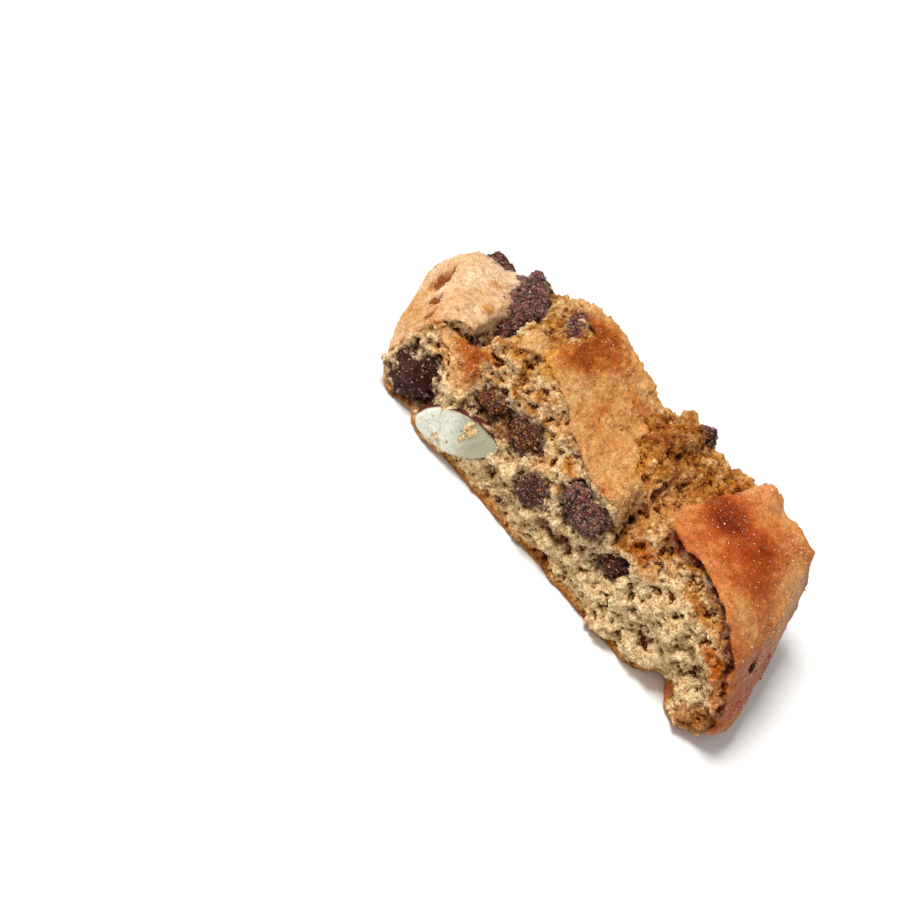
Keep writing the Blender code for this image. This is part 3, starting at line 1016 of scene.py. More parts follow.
@dataclass(frozen=True)
class OvenColoursAndPaintedLight:
    """The oven's colours with painted shade and painted highlight, worked out for each vertex of the
    slice.
    """

    crumb: tuple[str, ...] = ("ecd3a4", "dcb274", "c48838", "a05c18", "74370c")
    # painted highlight: the pale colours laid on the tips of the crumb's grains
    tip_highlight_colours: tuple[str, ...] = ("f8e6bc", "d0924a")  # on pale crumb and on toasted crumb
    golden: tuple[str, ...] = ("b4671a", "c98530")  # the band under the right crust
    seared: tuple[str, ...] = ("4c1206", "7e3414")  # the line where that crust meets the crumb
    base: tuple[str, ...] = ("a5672f", "bd8145")
    cocoa: tuple[str, ...] = ("401a10", "6b3322")  # crumb beside chocolate
    mottle_mm: float = 6.5  # broad patches of the browning
    blot_mm: float = 1.9  # blots in them
    fleck_mm: float = 0.8  # single flecks
    crumb_dull: float = 0.9  # the crumb's roughness

    def paint(self, mesh: MeshPoints, edge: np.ndarray, pore_shade: np.ndarray) -> None:
        """Works out the colours, and keeps them in the mesh for the finish to read.

        Args:
            mesh: the slice.
            edge: how far inside the crust each vertex is, in millimetres.
            pore_shade: how deep it lies among the grains, and negative on their tips.
        """
        places = mesh.places
        x, y, z = places.T
        facing = mesh.facing(10)
        crust = rise(-0.12, 0.12, edge)
        mottle = waves(places, self.mottle_mm, 3, 31.0)
        blot = waves(places, self.blot_mm, 2, 37.0)
        fleck = waves(places, self.fleck_mm, 2, 41.0)
        upper_crust = (crust > 0.5) & (z > 5.0)
        _, below = nearest(places[upper_crust], places)
        browned = self.browned(places, facing, below, blot) + 0.16 * mottle + 0.12 * blot + 0.10 * fleck
        browned += sum(spot.at(places) for spot in TOASTING)
        right_end = rise(12.0, 16.0, x)
        seared = rise(2.1, 1.3, below - 1.0 * blot) * right_end * rise(14.0, 9.0, y)
        golden = rise(3.3, 2.2, below - 1.3 * blot) * right_end
        colour = shade(self.crumb, browned)
        colour = mixed(colour, shade(self.golden, 0.5 + fleck), 0.85 * golden)
        colour = mixed(colour, shade(self.seared, 0.5 + fleck), seared)
        colour = mixed(colour, self.crust(places, facing, mottle, 0.14 * blot, 0.08 * fleck), crust)
        plain = rise(0.5, 0.2, browned) * (1.0 - np.maximum(seared, golden))
        for stain in STAINS:
            share = sum(spot.at(places + 0.35 * blot[:, None]) for spot in stain.spots)
            colour = mixed(colour, shade((stain.colour,) * 2, share), share * (1.0 + 0.5 * fleck))
            plain *= rise(0.8, 0.0, share)
        gap = distance_to(nodes_named("chocolate_"), places, 4.0)
        cocoa = rise(1.6, 0.0, gap - 0.8 * blot) * (1.0 - 0.5 * crust)
        colour = mixed(colour, shade(self.cocoa, 0.5 + fleck), 0.85 * cocoa)
        # Painted highlight: the tips of the grains are lightened, most on plain pale crumb.
        tips = rise(-0.05, -0.5, pore_shade) * (1.0 - crust)
        colour = mixed(colour, shade(self.tip_highlight_colours, browned), 0.60 * tips * (0.35 + 0.65 * plain))
        dull = sum(tone.value.dull * share for tone, share in tone_shares(x, y).items())
        # The kept colour carries painted shade and painted highlight as well as the oven's colours.
        mesh.keep("baked", colour)
        mesh.keep("crust", crust)
        mesh.keep("pore_shade", np.clip(pore_shade, 0.0, 1.0) * (1.0 - 0.6 * crust))
        mesh.keep("dull", self.crumb_dull + (dull - self.crumb_dull) * crust)

    @staticmethod
    def browned(
        places: np.ndarray, facing: np.ndarray, below: np.ndarray, blot: np.ndarray
    ) -> np.ndarray:
        """Gives how brown the crumb is: on top, just under the crust and along the base.

        Args:
            places: places in millimetres.
            facing: the directions that they face.
            below: their distances from the upper crust.
            blot: the pattern that makes the browning uneven.

        Returns:
            0 for pale crumb to about 1 for the darkest.
        """
        z = places[:, 2]
        skyward = rise(0.15, 0.75, facing[:, 2]) * rise(11.0, 17.0, z)
        browned = np.maximum(0.44 * skyward + 0.25 * blot * skyward, 0.42 * np.exp(-below / 0.9))
        return np.maximum(browned, 0.78 * rise(2.8, 0.2, z))

    def crust(
        self,
        places: np.ndarray,
        facing: np.ndarray,
        mottle: np.ndarray,
        blot: np.ndarray,
        fleck: np.ndarray,
    ) -> np.ndarray:
        """Gives the crust's colour.

        Args:
            places: places in millimetres.
            facing: the directions that they face.
            mottle: the broad pattern of the browning.
            blot: the middling one.
            fleck: the finest one.

        Returns:
            A linear colour for each place.
        """
        baking = sum(spot.at(places) for spot in BAKING)
        plates = np.zeros_like(places)
        for tone, share in tone_shares(places[:, 0], places[:, 1]).items():
            level = 0.33 + tone.value.uneven * mottle + blot + fleck + baking
            plates += shade(tone.value.colours, level) * share[:, None]
        on_base = facing[:, 2] < -0.3
        return np.where(on_base[:, None], shade(self.base, 0.5 + mottle), plates)


@dataclass
class BiscuitBody:
    """The slice: its crumb and crust, grown from the CAD solid."""

    rough_mm: float = 0.42  # voxels that carry the torn crust and the named hollows
    clump_voxel_mm: float = 0.30  # voxels that join the clumps to the crumb
    fine_mm: float = 0.21  # voxels that carry the single grains
    most_triangles: int = 196_000
    plug_cover_mm: float = 0.45  # how far a plug of crumb passes its pocket's walls
    plug_gap_mm: float = 0.6  # how far it stays under a piece's open surface
    almond_cover_mm: float = 1.0
    almond_gap_mm: float = 0.25
    torn_edge_mm: float = 0.8  # how high the crust stands over the crumb beside it
    lip_mm: float = 0.4  # how far the crust's edge hangs over
    ripple_mm: float = 0.30  # height of the crust's waves
    crag_mm: float = 0.95  # height of the crumb's broad crags
    clumps: int = 1500
    clump_seed: int = 21
    smallest_clump_mm: float = 0.7
    clump_range_mm: float = 1.5
    pore_mm: float = 0.95  # depth of the largest pores
    small_pore_mm: float = 0.35

    def build(self, finish: bpy.types.Material) -> bpy.types.Object:
        """Builds the piece and puts its finish on it.

        Args:
            finish: the baked biscuit.

        Returns:
            The finished piece.
        """
        piece = self.plugged()
        with_modifier(piece, "REMESH", mode="VOXEL", voxel_size=self.rough_mm * MM)
        with_modifier(piece, "SMOOTH", factor=0.5, iterations=6)
        rough = MeshPoints(piece.data)
        facing = rough.facing(24)
        edge = self.crust_edge(rough.places, facing)
        self.carve(rough, edge, facing)
        self.tear_crust(rough, edge, facing)
        rough.write()
        self.add_clumps(piece, rough, edge, facing)
        with_modifier(piece, "REMESH", mode="VOXEL", voxel_size=self.clump_voxel_mm * MM)
        middle = MeshPoints(piece.data)
        rows, _ = nearest(rough.places, middle.places)
        edge = middle.averaged(edge[rows], 1)
        self.open_pores(middle, edge, facing[rows])
        middle.write()
        hollow = middle.sunken(36)
        with_modifier(piece, "REMESH", mode="VOXEL", voxel_size=self.fine_mm * MM)
        fine = MeshPoints(piece.data)
        rows, _ = nearest(middle.places, fine.places)
        edge, hollow = fine.averaged(edge[rows], 2), fine.averaged(hollow[rows], 2)
        self.grain_surface(fine, edge)
        fine.write()
        # How deep each place lies among its grains: it darkens the pores as painted shade, and its
        # negative lightens the grain tips as painted highlight.
        pore_shade = np.clip(hollow / 0.9, -0.5, 1.0) + np.clip(fine.sunken(8) / 0.22, -0.5, 1.0)
        share = self.most_triangles / (2 * len(piece.data.polygons))
        with_modifier(piece, "DECIMATE", ratio=min(1.0, share), use_collapse_triangulate=True)
        done = MeshPoints(piece.data)
        done.write()
        rows, _ = nearest(fine.places, done.places)
        OvenColoursAndPaintedLight().paint(done, edge[rows], 0.7 * pore_shade[rows])
        dress(piece, finish, "crumb", BODY_NODE)
        return piece

    def plugged(self) -> bpy.types.Object:
        """Copies the slice with its pockets filled.

        A plug of crumb fills each pocket. Where an almond or a piece of chocolate shows, the plug
        stays a little below its surface, and round an almond it comes up to the edge of the cut.

        Returns:
            The slice and its plugs in one object.
        """
        crumb = surface_of([BODY_NODE])
        cuts = {cut.node: cut for cut in Almonds.cuts}
        shape = bmesh.new()
        shape.from_mesh(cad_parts[BODY_NODE].data)
        for node in nodes_named("chocolate_") + nodes_named("almond_"):
            plug = bmesh.new()
            plug.from_mesh(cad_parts[node].data)
            bmesh.ops.remove_doubles(plug, verts=plug.verts, dist=WELD)
            plug.normal_update()
            for vertex in plug.verts:
                place = vertex.co / MM - ZERO
                buried = crumb.find_nearest(place)[3] < 0.8
                if node in cuts:
                    place += vertex.normal * self.almond_cover_mm
                    place.y = cuts[node].behind(place.y, place.z, self.almond_gap_mm)
                else:
                    place += vertex.normal * (self.plug_cover_mm if buried else -self.plug_gap_mm)
                vertex.co = (place + ZERO) * MM
            mesh = bpy.data.meshes.new("plug")
            plug.to_mesh(mesh)
            plug.free()
            shape.from_mesh(mesh)
            bpy.data.meshes.remove(mesh)
        mesh = bpy.data.meshes.new("biscuit_body")
        bmesh.ops.remove_doubles(shape, verts=shape.verts, dist=WELD)
        shape.to_mesh(mesh)
        shape.free()
        return linked("biscuit_body", mesh)

    @staticmethod
    def crust_edge(places: np.ndarray, facing: np.ndarray) -> np.ndarray:
        """Finds where the crust is; cut faces are crumb, and the base is crust.

        Args:
            places: places in millimetres.
            facing: the directions that they face.

        Returns:
            How far inside the crust each place is, in millimetres, or outside where negative.
        """
        x, y, _ = places.T
        wander = 0.8 * waves(places, 2.6, 2) + 0.35 * waves(places, 0.9, 1, 5.0)
        inside = np.max([plate.inside(x, y) * min(1.0, 0.3 / plate.soft) for plate in CRUST], axis=0)
        inside += wander
        off_cut_face = (0.74 - np.abs(facing[:, 1])) * 6.0
        return np.where(facing[:, 2] < -0.8, 1.5, np.minimum(inside, off_cut_face))

    def carve(self, mesh: MeshPoints, edge: np.ndarray, facing: np.ndarray) -> None:
        """Carves the hollows, knobs and cracks that the slice has by name, and its broad crags.

        Args:
            mesh: the rough slice.
            edge: how far inside the crust each vertex is.
            facing: the directions that they face.
        """
        warp, fine_warp = (
            np.stack([waves(mesh.places, size, octaves, shift) for shift in shifts], axis=1)
            for size, octaves, shifts in ((2.2, 2, (3.0, 8.0, 13.0)), (0.8, 1, (4.0, 9.0, 14.0)))
        )
        spots = mesh.places + 0.7 * warp + 0.5 * fine_warp
        out = sum(knob.at(spots) for knob in KNOBS)
        out -= sum(hollow.at(spots) for hollow in HOLLOWS)
        out -= sum(crack.at(spots) for crack in CRACKS)
        on_crumb = rise(0.25, -0.35, edge) * rise(0.0, 2.0, mesh.places[:, 2])
        crag = self.crag_mm * waves(mesh.places, 4.4, 3, 7.0) * on_crumb
        mesh.places += facing * (out + crag)[:, None]

    def tear_crust(self, mesh: MeshPoints, edge: np.ndarray, facing: np.ndarray) -> None:
        """Lets the crust stand over the crumb beside it, with a lip at its torn edge.

        Args:
            mesh: the rough slice.
            edge: how far inside the crust each vertex is.
            facing: the directions that they face.
        """
        open_side = rise(-0.6, -0.15, facing[:, 2])
        sunk = self.torn_edge_mm * np.exp(np.minimum(edge, 0.0) / 2.0) * rise(0.12, -0.12, edge)
        ripple = self.ripple_mm * waves(mesh.places, 5.0, 3, 11.0) * rise(0.0, 0.5, edge)
        mesh.places += facing * ((ripple - sunk) * open_side)[:, None]
        first, second = mesh.edges.T
        count = len(mesh.places)
        steps = (edge[second] - edge[first])[:, None] * (mesh.places[second] - mesh.places[first])
        inward = [np.bincount(first, c, count) + np.bincount(second, c, count) for c in steps.T]
        inward = mesh.averaged(np.stack(inward, axis=1), 2)
        inward /= np.maximum(np.linalg.norm(inward, axis=1), 1e-9)[:, None]
        lip = self.lip_mm * rise(0.8, 0.1, edge) * rise(-0.05, 0.1, edge) * open_side
        mesh.places -= inward * lip[:, None]

    def add_clumps(
        self, piece: bpy.types.Object, mesh: MeshPoints, edge: np.ndarray, facing: np.ndarray
    ) -> None:
        """Adds half-sunk clumps of crumb all over the torn and cut faces.

        Args:
            piece: the slice.
            mesh: its vertices.
            edge: how far inside the crust each vertex is.
            facing: the directions that they face.
        """
        draw = np.random.default_rng(self.clump_seed)
        crumb = rise(-0.1, -0.6, edge) * rise(0.6, 1.8, mesh.places[:, 2])
        uneven = 0.25 + rise(-0.3, 0.35, waves(mesh.places, 3.6, 1, 17.0))
        pieces = nodes_named("chocolate_") + nodes_named("almond_")
        free = rise(0.5, 1.3, distance_to(pieces, mesh.places))
        shaped = sum(spot.at(mesh.places) for spot in HOLLOWS + KNOBS)
        shaped = shaped + sum(crack.at(mesh.places) for crack in CRACKS)
        chance = crumb * uneven * free * rise(0.6, 0.0, shaped)
        rows = draw.choice(len(chance), self.clumps, replace=False, p=chance / chance.sum())
        sizes = self.smallest_clump_mm + self.clump_range_mm * draw.random(self.clumps) ** 2.2
        sunk = sizes * (0.18 + 0.22 * draw.random(self.clumps))
        corners, faces = balls(mesh.places[rows] - facing[rows] * sunk[:, None], sizes, draw, 2, 0.8)
        clumps = mesh_of("clumps", corners, faces)
        shape = bmesh.new()
        shape.from_mesh(piece.data)
        shape.from_mesh(clumps)
        shape.to_mesh(piece.data)
        shape.free()
        bpy.data.meshes.remove(clumps)

    def open_pores(self, mesh: MeshPoints, edge: np.ndarray, facing: np.ndarray) -> None:
        """Opens the crumb's pores, and roughens it between them.

        Args:
            mesh: the slice with its clumps.
            edge: how far inside the crust each vertex is.
            facing: the directions that they face.
        """
        crumb = rise(0.1, -0.5, edge) * rise(0.2, 1.5, mesh.places[:, 2])
        wide = waves(mesh.places, 3.0) + 0.45 * waves(mesh.places, 1.5, 1, 3.0)
        narrow = waves(mesh.places, 1.3, 1, 9.0)
        depth = self.pore_mm * rise(0.18, 0.6, wide) + self.small_pore_mm * rise(0.16, 0.5, narrow)
        crags = 0.48 * waves(mesh.places, 2.3, 3, 23.0) + 0.18 * waves(mesh.places, 0.8, 2, 27.0)
        mesh.places += facing * ((crags - depth) * crumb)[:, None]

    @staticmethod
    def grain_surface(mesh: MeshPoints, edge: np.ndarray) -> None:
        """Gives the crumb its single grains, and each kind of crust its own fine surface.

        Args:
            mesh: the slice on its finest voxels.
            edge: how far inside the crust each vertex is.
        """
        x, y, z = mesh.places.T
        off_base = rise(0.0, 0.8, z)
        crumb = rise(0.15, -0.2, edge)
        grains = 0.06 * knobbly(mesh.places, 1.15) + 0.10 * knobbly(mesh.places, 0.62, 4.0)
        grains += 0.10 * waves(mesh.places, 0.7, 2, 29.0)
        depth = sum(tone.value.sandy_mm * share for tone, share in tone_shares(x, y).items())
        skin = depth * (knobbly(mesh.places, 0.8, 6.0) + waves(mesh.places, 1.6, 2, 2.0))
        pits = rise(0.55, 0.95, knobbly(mesh.places, 2.9, 8.0))  # none in the smooth right crust
        skin -= 0.22 * pits * rise(0.02, 0.06, depth)
        mesh.places += mesh.normals * ((grains * crumb + skin * (1.0 - crumb)) * off_base)[:, None]


@dataclass(frozen=True)
class Chunk:
    """A piece of chocolate in the slice."""

    node: str
    dusty: float  # how much dry crumb clings to it, from 0 to 1; the lowest values also keep a piece dark as painted shade
    crumbed: float = 1.0  # how many times more loose crumbs lie on it than on the others
    break_spot: Spot | None = None  # where it snapped clean

    @property
    def piece(self) -> str:
        """Gives the name of the finished piece."""
        return self.node.replace("chocolate_", "chunk_")


@dataclass
class ChocolatePieces:
    """The pieces of chocolate, each with its crumbly broken surface."""

    voxel_mm: float = 0.20
    chunks: tuple[Chunk, ...] = (
        # Little dust keeps this piece dark, as painted shade in the cavity at the left end.
        Chunk("chocolate_left_end", 0.15, 1.0, Spot((-30.6, 1.0, 8.4), (3.2, 3.6, 3.0), 1.5)),
        Chunk("chocolate_crescent", 1.0),
        Chunk("chocolate_back_corner", 0.6),
        Chunk("chocolate_top_spot", 0.7),
        Chunk("chocolate_front_large", 1.0),
        Chunk("chocolate_front_small", 0.4, 8.0),
        Chunk("chocolate_recess_right", 0.3, 30.0),
        Chunk("chocolate_recess_left", 0.3, 40.0),
        Chunk("chocolate_cleft", 0.35, 5.0),
        Chunk("chocolate_rear_ridge", 0.4),
        Chunk("chocolate_back_left", 0.8),
        Chunk("chocolate_back_right", 0.7),
    )

    def build(self) -> list[bpy.types.Object]:
        """Builds every piece.

        Returns:
            The finished pieces.
        """
        finish = DarkChocolate().build()
        return [self.build_piece(chunk, finish) for chunk in self.chunks]

    def build_piece(self, chunk: Chunk, finish: bpy.types.Material) -> bpy.types.Object:
        """Builds one piece in the place of its CAD node.

        Args:
            chunk: which piece.
            finish: the chocolate.

        Returns:
            The finished piece.
        """
        piece = copied_node(chunk.node, chunk.piece)
        with_modifier(piece, "REMESH", mode="VOXEL", voxel_size=self.voxel_mm * MM)
        with_modifier(piece, "SMOOTH", factor=0.5, iterations=3)
        mesh = MeshPoints(piece.data)
        snapped = np.zeros(len(mesh.places))
        if chunk.break_spot:
            snapped = chunk.break_spot.at(mesh.places)
        mesh.places -= mesh.facing(12) * snapped[:, None]
        smooth = rise(0.3, 0.9, snapped)
        angular = 0.30 * knobbly(mesh.places, 3.6, 1.0) + 0.45 * waves(mesh.places, 2.6, 2, 9.0)
        crumbly = 0.22 * waves(mesh.places, 1.0, 3, 2.0) + 0.10 * knobbly(mesh.places, 0.6, 5.0)
        mesh.places += mesh.normals * ((angular + crumbly) * (1.0 - smooth))[:, None]
        mesh.write()
        mesh.keep("snapped", smooth)
        mesh.keep("crest", np.clip(0.45 + 2.0 * crumbly + 0.3 * angular, 0.0, 1.0))
        mesh.keep("dusty", chunk.dusty * (1.0 - smooth))
        dress(piece, finish, "chocolate", chunk.node)
        return piece


@dataclass(frozen=True)
class KnifeCut:
    """The knife's plane through an almond, which leans back above a height."""

    node: str
    plane: float  # distance behind the front cut face
    side: float  # -1 where the cut faces forward and 1 where it faces back
    lean: float = 0.0
    lean_from: float = 0.0

    def depth(self, z: np.ndarray | float) -> np.ndarray | float:
        """Gives the plane's distance behind the front cut face at a height."""
        return self.plane + self.lean * np.maximum(z - self.lean_from, 0.0)

    def behind(self, y: np.ndarray | float, z: np.ndarray | float, gap: float) -> np.ndarray | float:
        """Moves distances behind the front face to at least gap millimetres behind the plane."""
        return -self.side * np.maximum(-self.side * y, -self.side * self.depth(z) + gap)


@dataclass
class Almonds:
    """The almonds, cut through by the knife that sliced the log."""

    cuts: tuple[KnifeCut, ...] = (
        KnifeCut("almond_front", -1.3, -1.0, 0.34, 4.5),
        KnifeCut("almond_back", 29.9, 1.0),
    )
    voxel_mm: float = 0.20
    long_way: Place = (0.83, 0.0, 0.56)  # along the kernel, across its split
    seam_mm: float = 3.1  # how far from the middle the split shows

    def build(self) -> list[bpy.types.Object]:
        """Builds both almonds.

        Returns:
            The finished pieces.
        """
        finish = CutAlmond().build()
        return [self.build_nut(cut, finish) for cut in self.cuts]

    def build_nut(self, knife: KnifeCut, finish: bpy.types.Material) -> bpy.types.Object:
        """Builds one almond.

        Args:
            knife: the cut through it.
            finish: the nut.

        Returns:
            The finished piece.
        """
        piece = copied_node(knife.node, knife.node.replace("almond_", "nut_"))
        with_modifier(piece, "REMESH", mode="VOXEL", voxel_size=self.voxel_mm * MM)
        with_modifier(piece, "SMOOTH", factor=0.5, iterations=3)
        mesh = MeshPoints(piece.data)
        mesh.places[:, 1] = knife.behind(mesh.places[:, 1], mesh.places[:, 2], 0.0)
        mesh.write()
        away = np.abs(mesh.places[:, 1] - knife.depth(mesh.places[:, 2]))
        cut = rise(0.85, 0.45, away) * rise(0.0, 0.3, mesh.facing(2)[:, 1] * knife.side)
        middle = mesh.places[cut > 0.5].mean(axis=0)
        along = (mesh.places - middle) @ np.array(self.long_way)
        seam = rise(0.45, 0.0, np.abs(along + self.seam_mm + 0.4 * waves(mesh.places, 2.0)))
        wrinkle = 0.10 * waves(mesh.places, 1.6, 2) * (1.0 - cut)
        worn = (0.16 * waves(mesh.places, 2.4, 3, 4.0) - 0.08 - 0.25 * seam) * cut
        mesh.places += mesh.normals * (wrinkle + worn)[:, None]
        mesh.write()
        mesh.keep("skin", 1.0 - cut)
        # Painted shade: the cut face darkens along its length and in the crease of its split.
        mesh.keep("shaded", np.clip(0.45 + 0.13 * along + 0.4 * seam, 0.0, 1.0))
        dress(piece, finish, "almond", knife.node)
        return piece


@dataclass(frozen=True)
class Scatter:
    """One kind of loose grain: how many there are, and their sizes in millimetres."""

    name: str
    slot: str
    count: int
    smallest: float
    largest: float
    seed: int
    sunk: float = 0.15  # how deep its middle lies under the surface, as a share of its size
    sides: int = 1  # subdivisions of the ball that it starts from, or 0 for a chip of eight faces
    faceted: bool = False


class LooseGrains:
    """Grains that lie on the surfaces, joined into one piece of each kind."""

    def __init__(self, hosts: list[bpy.types.Object]) -> None:
        """Reads the surfaces that grains can lie on.

        Args:
            hosts: the finished pieces.
        """
        self.places = [to_slice(self.read(host, "polygons", "center", 3)) for host in hosts]
        self.normals = [self.read(host, "polygon_normals", "vector", 3) for host in hosts]
        self.areas = [self.read(host, "polygons", "area", 1)[:, 0] for host in hosts]

    @staticmethod
    def read(host: bpy.types.Object, part: str, name: str, width: int) -> np.ndarray:
        """Reads one property of every face.

        Args:
            host: the piece.
            part: the mesh's collection that holds the property.
            name: the property.
            width: how many numbers it has.

        Returns:
            One row for each face.
        """
        values = np.empty(len(host.data.polygons) * width, np.float32)
        getattr(host.data, part).foreach_get(name, values)
        return values.reshape(-1, width)

    def build(
        self,
        kind: Scatter,
        weights: list[np.ndarray],
        finish: bpy.types.Material,
        colours: np.ndarray | None = None,
    ) -> bpy.types.Object:
        """Scatters one kind of grain.

        Args:
            kind: what is scattered.
            weights: for each host, how many grains its faces take for their area.
            finish: the grains' material.
            colours: the colour that a grain takes on each face of the hosts, or None.

        Returns:
            The finished piece.
        """
        draw = np.random.default_rng(kind.seed)
        places, normals = np.concatenate(self.places), np.concatenate(self.normals)
        chance = np.concatenate([area * weight for area, weight in zip(self.areas, weights)])
        rows = draw.choice(len(places), kind.count, p=chance / chance.sum())
        sizes = kind.smallest + (kind.largest - kind.smallest) * draw.random(kind.count) ** 2.5
        lift = sizes * (draw.random(kind.count) * 0.3 - kind.sunk)
        middles = places[rows] + normals[rows] * lift[:, None]
        corners, faces = balls(middles, sizes, draw, kind.sides, 0.9)
        mesh = mesh_of(kind.name, inside_box(corners), faces)
        points = MeshPoints(mesh)
        each = len(corners) // kind.count
        share = draw.random(kind.count)
        points.keep("share", np.repeat(share, each))
        if colours is not None:
            own = colours[rows] * (0.80 + 0.50 * share)[:, None]
            points.keep("baked", np.repeat(np.clip(own, 0.0, 0.95), each, axis=0))
            for name, value in (("crust", 0.4), ("pore_shade", 0.0), ("dull", 0.85)):
                points.keep(name, np.full(len(corners), value))
        piece = linked(kind.name, mesh)
        dress(piece, finish, kind.slot, None, kind.faceted)
        return piece


def on_faces(piece: bpy.types.Object, name: str) -> np.ndarray:
    """Reads an attribute at the first corner of every face.

    Args:
        piece: a piece whose mesh keeps the attribute.
        name: the attribute's name.

    Returns:
        One number, or one colour, for each face.
    """
    mesh = piece.data
    attribute = mesh.attributes[name]
    width, kind = (4, "color") if attribute.data_type == "FLOAT_COLOR" else (1, "value")
    values = np.empty(len(mesh.vertices) * width, np.float32)
    attribute.data.foreach_get(kind, values)
    starts = np.empty(len(mesh.polygons), np.int32)
    mesh.polygons.foreach_get("loop_start", starts)
    corners = np.empty(len(mesh.loops), np.int32)
    mesh.loops.foreach_get("vertex_index", corners)
    read = values.reshape(-1, width)[corners[starts]]
    return read[:, :3] if width == 4 else read[:, 0]


# Where sugar lies thickest on the crust.
SUGARED = (
    Spot((20.5, 26.5, 25.0), (4.5, 4.0, 5.0), 5.0),
    Spot((30.5, 25.0, 24.0), (4.0, 4.0, 5.0), 4.0),
    Spot((-10.0, 24.0, 24.0), (9.0, 6.0, 5.0), 1.5),
    Spot((38.0, 14.0, 18.0), (5.0, 8.0, 6.0), 1.5),
)
# Each kind of crumb, and how many of it lie on chocolate for its area, where bare crumb takes 1.
CRUMBS = (
    (Scatter("crumb_grains", "crumb", 9400, 0.22, 0.62, 11, 0.2), 0.05),
    (Scatter("fine_crumbs", "crumb", 24000, 0.12, 0.34, 14, 0.1, 0), 0.07),
)
SUGAR_GRAINS = Scatter("sugar_grains", "crumb", 7000, 0.08, 0.28, 12, 0.0, 0, True)
CHOCOLATE_CRUMBS = Scatter("chocolate_crumbs", "chocolate", 14000, 0.15, 0.6, 13, 0.1, 0, True)
STREWN_CRUMB = "a8713c"  # crumbs that lie on chocolate and on almonds


def scatter_grains(
    body: bpy.types.Object,
    chunks: list[bpy.types.Object],
    nuts: list[bpy.types.Object],
    biscuit: bpy.types.Material,
) -> None:
    """Scatters crumbs, sugar and chocolate crumbs over the finished pieces.

    Args:
        body: the slice.
        chunks: the pieces of chocolate.
        nuts: the almonds.
        biscuit: the baked biscuit, which the crumbs are made of.
    """
    surface = LooseGrains([body, *chunks, *nuts])
    crust, baked = on_faces(body, "crust"), on_faces(body, "baked")
    places = surface.places[0]
    off_base = rise(0.3, 1.5, places[:, 2]) * rise(-0.5, 0.0, surface.normals[0][:, 2] + 0.3)
    golden = tone_shares(places[:, 0], places[:, 1])[Tone.GOLDEN]
    thick = {chunk.piece: chunk.crumbed for chunk in ChocolatePieces.chunks}
    on_chunks = [np.full(len(chunk.data.polygons), thick[chunk.name]) for chunk in chunks]
    on_nuts = [np.ones(len(nut.data.polygons)) for nut in nuts]
    others = sum(len(faces) for faces in on_chunks + on_nuts)
    colours = np.concatenate([baked, np.full((others, 3), linear(STREWN_CRUMB)[:3])])
    on_body = ((1.0 - crust) + 0.22 * crust * golden + 0.03) * off_base
    for kind, share in CRUMBS:
        weights = [on_body]
        weights += [share * faces for faces in on_chunks] + [0.02 * faces for faces in on_nuts]
        surface.build(kind, weights, biscuit, colours)
    on_body = (0.25 + 0.75 * crust + sum(spot.at(places) for spot in SUGARED) * crust) * off_base
    plain = [np.full(len(chunk.data.polygons), 0.45) for chunk in chunks]
    surface.build(SUGAR_GRAINS, [on_body, *plain, *(0.0 * faces for faces in on_nuts)], SUGAR.build())
    near = rise(2.4, 0.2, distance_to(nodes_named("chocolate_"), places, 4.0)) ** 2
    on_body = 0.5 * near * off_base * (1.0 - 0.8 * crust)
    dusty = [0.05 + 1.8 * on_faces(chunk, "dusty") for chunk in chunks]
    weights = [on_body, *dusty, *(0.008 * faces for faces in on_nuts)]
    surface.build(CHOCOLATE_CRUMBS, weights, CHOCOLATE_GRIT.build())


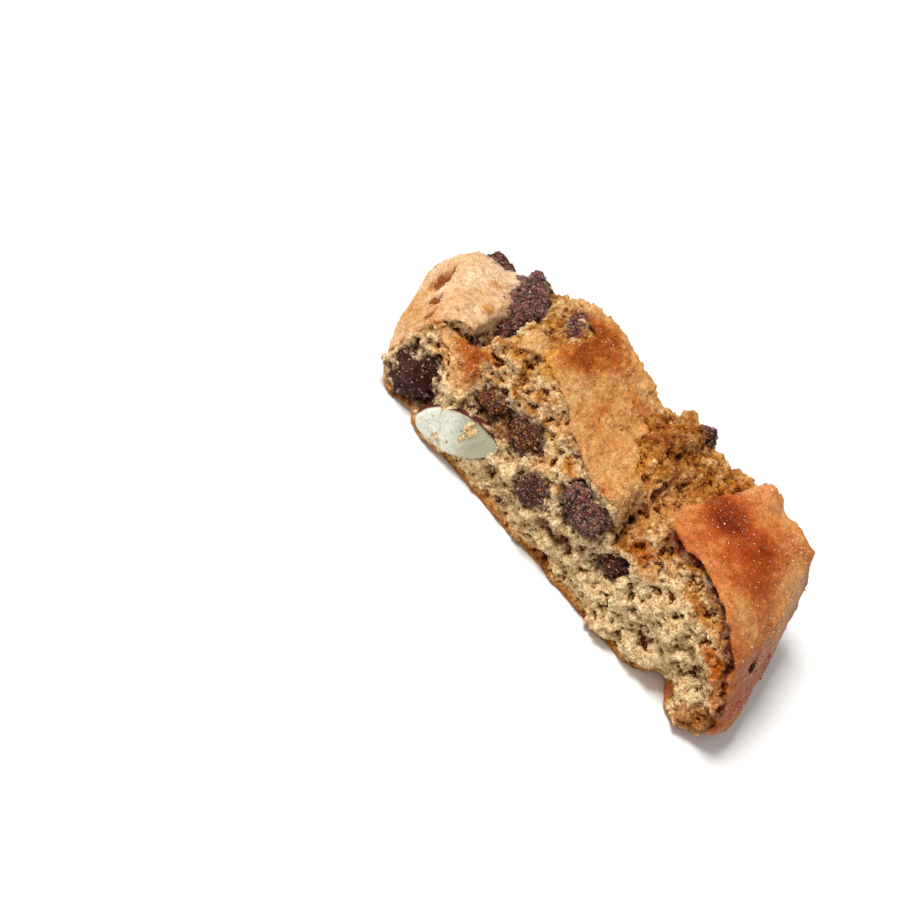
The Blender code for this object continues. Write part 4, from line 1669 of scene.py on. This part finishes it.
@dataclass(frozen=True)
class Studio:
    """The plain floor, the soft light and the camera at the photograph's viewing angle."""

    target: Place = (0.0, 0.0, 0.0115)
    elevation_deg: float = 48.0
    roll_deg: float = 49.0  # the camera leans, so that the slice runs down to the right
    distance: float = 0.425
    lens_mm: float = 100.0
    image_px: float = 900.0
    target_px: tuple[float, float] = (602.0, 476.0)  # the target's place in the photograph's frame
    clip_start: float = 0.01
    floor: str = "fafaf8"
    floor_half: float = 2.0
    room_light: float = 0.37
    # Each light: its name, its place from the target along the view's right, up and back in
    # metres, its side in metres and its power in watts.
    lights: tuple[tuple[str, Place, float, float], ...] = (
        ("key", (0.06, 0.76, 0.84), 0.30, 12.5),
        ("fill", (-0.20, 0.30, 0.90), 0.80, 1.0),
    )

    def build(self) -> None:
        """Builds the camera, the floor and the lights."""
        self.build_camera()
        self.build_floor()
        self.build_lights()

    def axes(self) -> tuple[Vector, Vector, Vector]:
        """Works out how the camera is turned.

        Returns:
            The view's right, up and backward directions.
        """
        elevation, roll = math.radians(self.elevation_deg), math.radians(self.roll_deg)
        back = Vector((0.0, -math.cos(elevation), math.sin(elevation)))
        right = Vector((1.0, 0.0, 0.0))
        up = back.cross(right)
        return (
            right * math.cos(roll) + up * math.sin(roll),
            up * math.cos(roll) - right * math.sin(roll),
            back,
        )

    def build_camera(self) -> None:
        """Builds the camera, whose shift puts the slice where the photograph has it."""
        right, up, back = self.axes()
        data = bpy.data.cameras.new("camera")
        data.lens = self.lens_mm
        data.clip_start = self.clip_start
        data.shift_x = (0.5 * self.image_px - self.target_px[0]) / self.image_px
        data.shift_y = (self.target_px[1] - 0.5 * self.image_px) / self.image_px
        camera = bpy.data.objects.new("camera", data)
        matrix = Matrix((right, up, back)).transposed().to_4x4()
        matrix.translation = Vector(self.target) + back * self.distance
        camera.matrix_world = matrix
        bpy.context.scene.collection.objects.link(camera)
        bpy.context.scene.camera = camera

    def build_floor(self) -> None:
        """Builds the plain white floor under the slice."""
        shape = bmesh.new()
        bmesh.ops.create_grid(shape, x_segments=1, y_segments=1, size=self.floor_half)
        mesh = bpy.data.meshes.new("floor")
        shape.to_mesh(mesh)
        shape.free()
        finish = Finish("white_paper_floor")  # matt, so that nothing is mirrored in it
        mesh.materials.append(finish.done({"Base Color": linear(self.floor), "Roughness": 0.9}))
        linked("floor", mesh)

    def build_lights(self) -> None:
        """Builds a soft key light from above the view, a weak fill and a bright room."""
        for light in self.lights:
            self.add_light(*light)
        world = bpy.data.worlds.new("white_room")
        world.use_nodes = True
        background = world.node_tree.nodes["Background"]
        background.inputs["Color"].default_value = (1.0, 1.0, 1.0, 1.0)
        background.inputs["Strength"].default_value = self.room_light
        bpy.context.scene.world = world
        bpy.context.scene.view_settings.view_transform = "Standard"

    def add_light(self, name: str, where: Place, size: float, watts: float) -> None:
        """Adds a square soft light.

        Args:
            name: the light's name.
            where: its place from the target, along the view's right, up and back, in metres.
            size: its side in metres.
            watts: its power.
        """
        right, up, back = self.axes()
        target = Vector(self.target)
        place = target + right * where[0] + up * where[1] + back * where[2]
        data = bpy.data.lights.new(name, "AREA")
        data.energy = watts
        data.size = size
        light = bpy.data.objects.new(name, data)
        turn = (place - target).to_track_quat("Z", "Y").to_matrix().to_4x4()
        light.matrix_world = Matrix.Translation(place) @ turn
        bpy.context.scene.collection.objects.link(light)


def main() -> None:
    """Builds the slice and everything on it, then the studio."""
    logging.basicConfig(level=logging.INFO, format="%(message)s")
    Studio().build()
    biscuit = BakedBiscuit().build()
    body = BiscuitBody().build(biscuit)
    chunks = ChocolatePieces().build()
    nuts = Almonds().build()
    scatter_grains(body, chunks, nuts, biscuit)


if __name__ == "__main__":
    main()
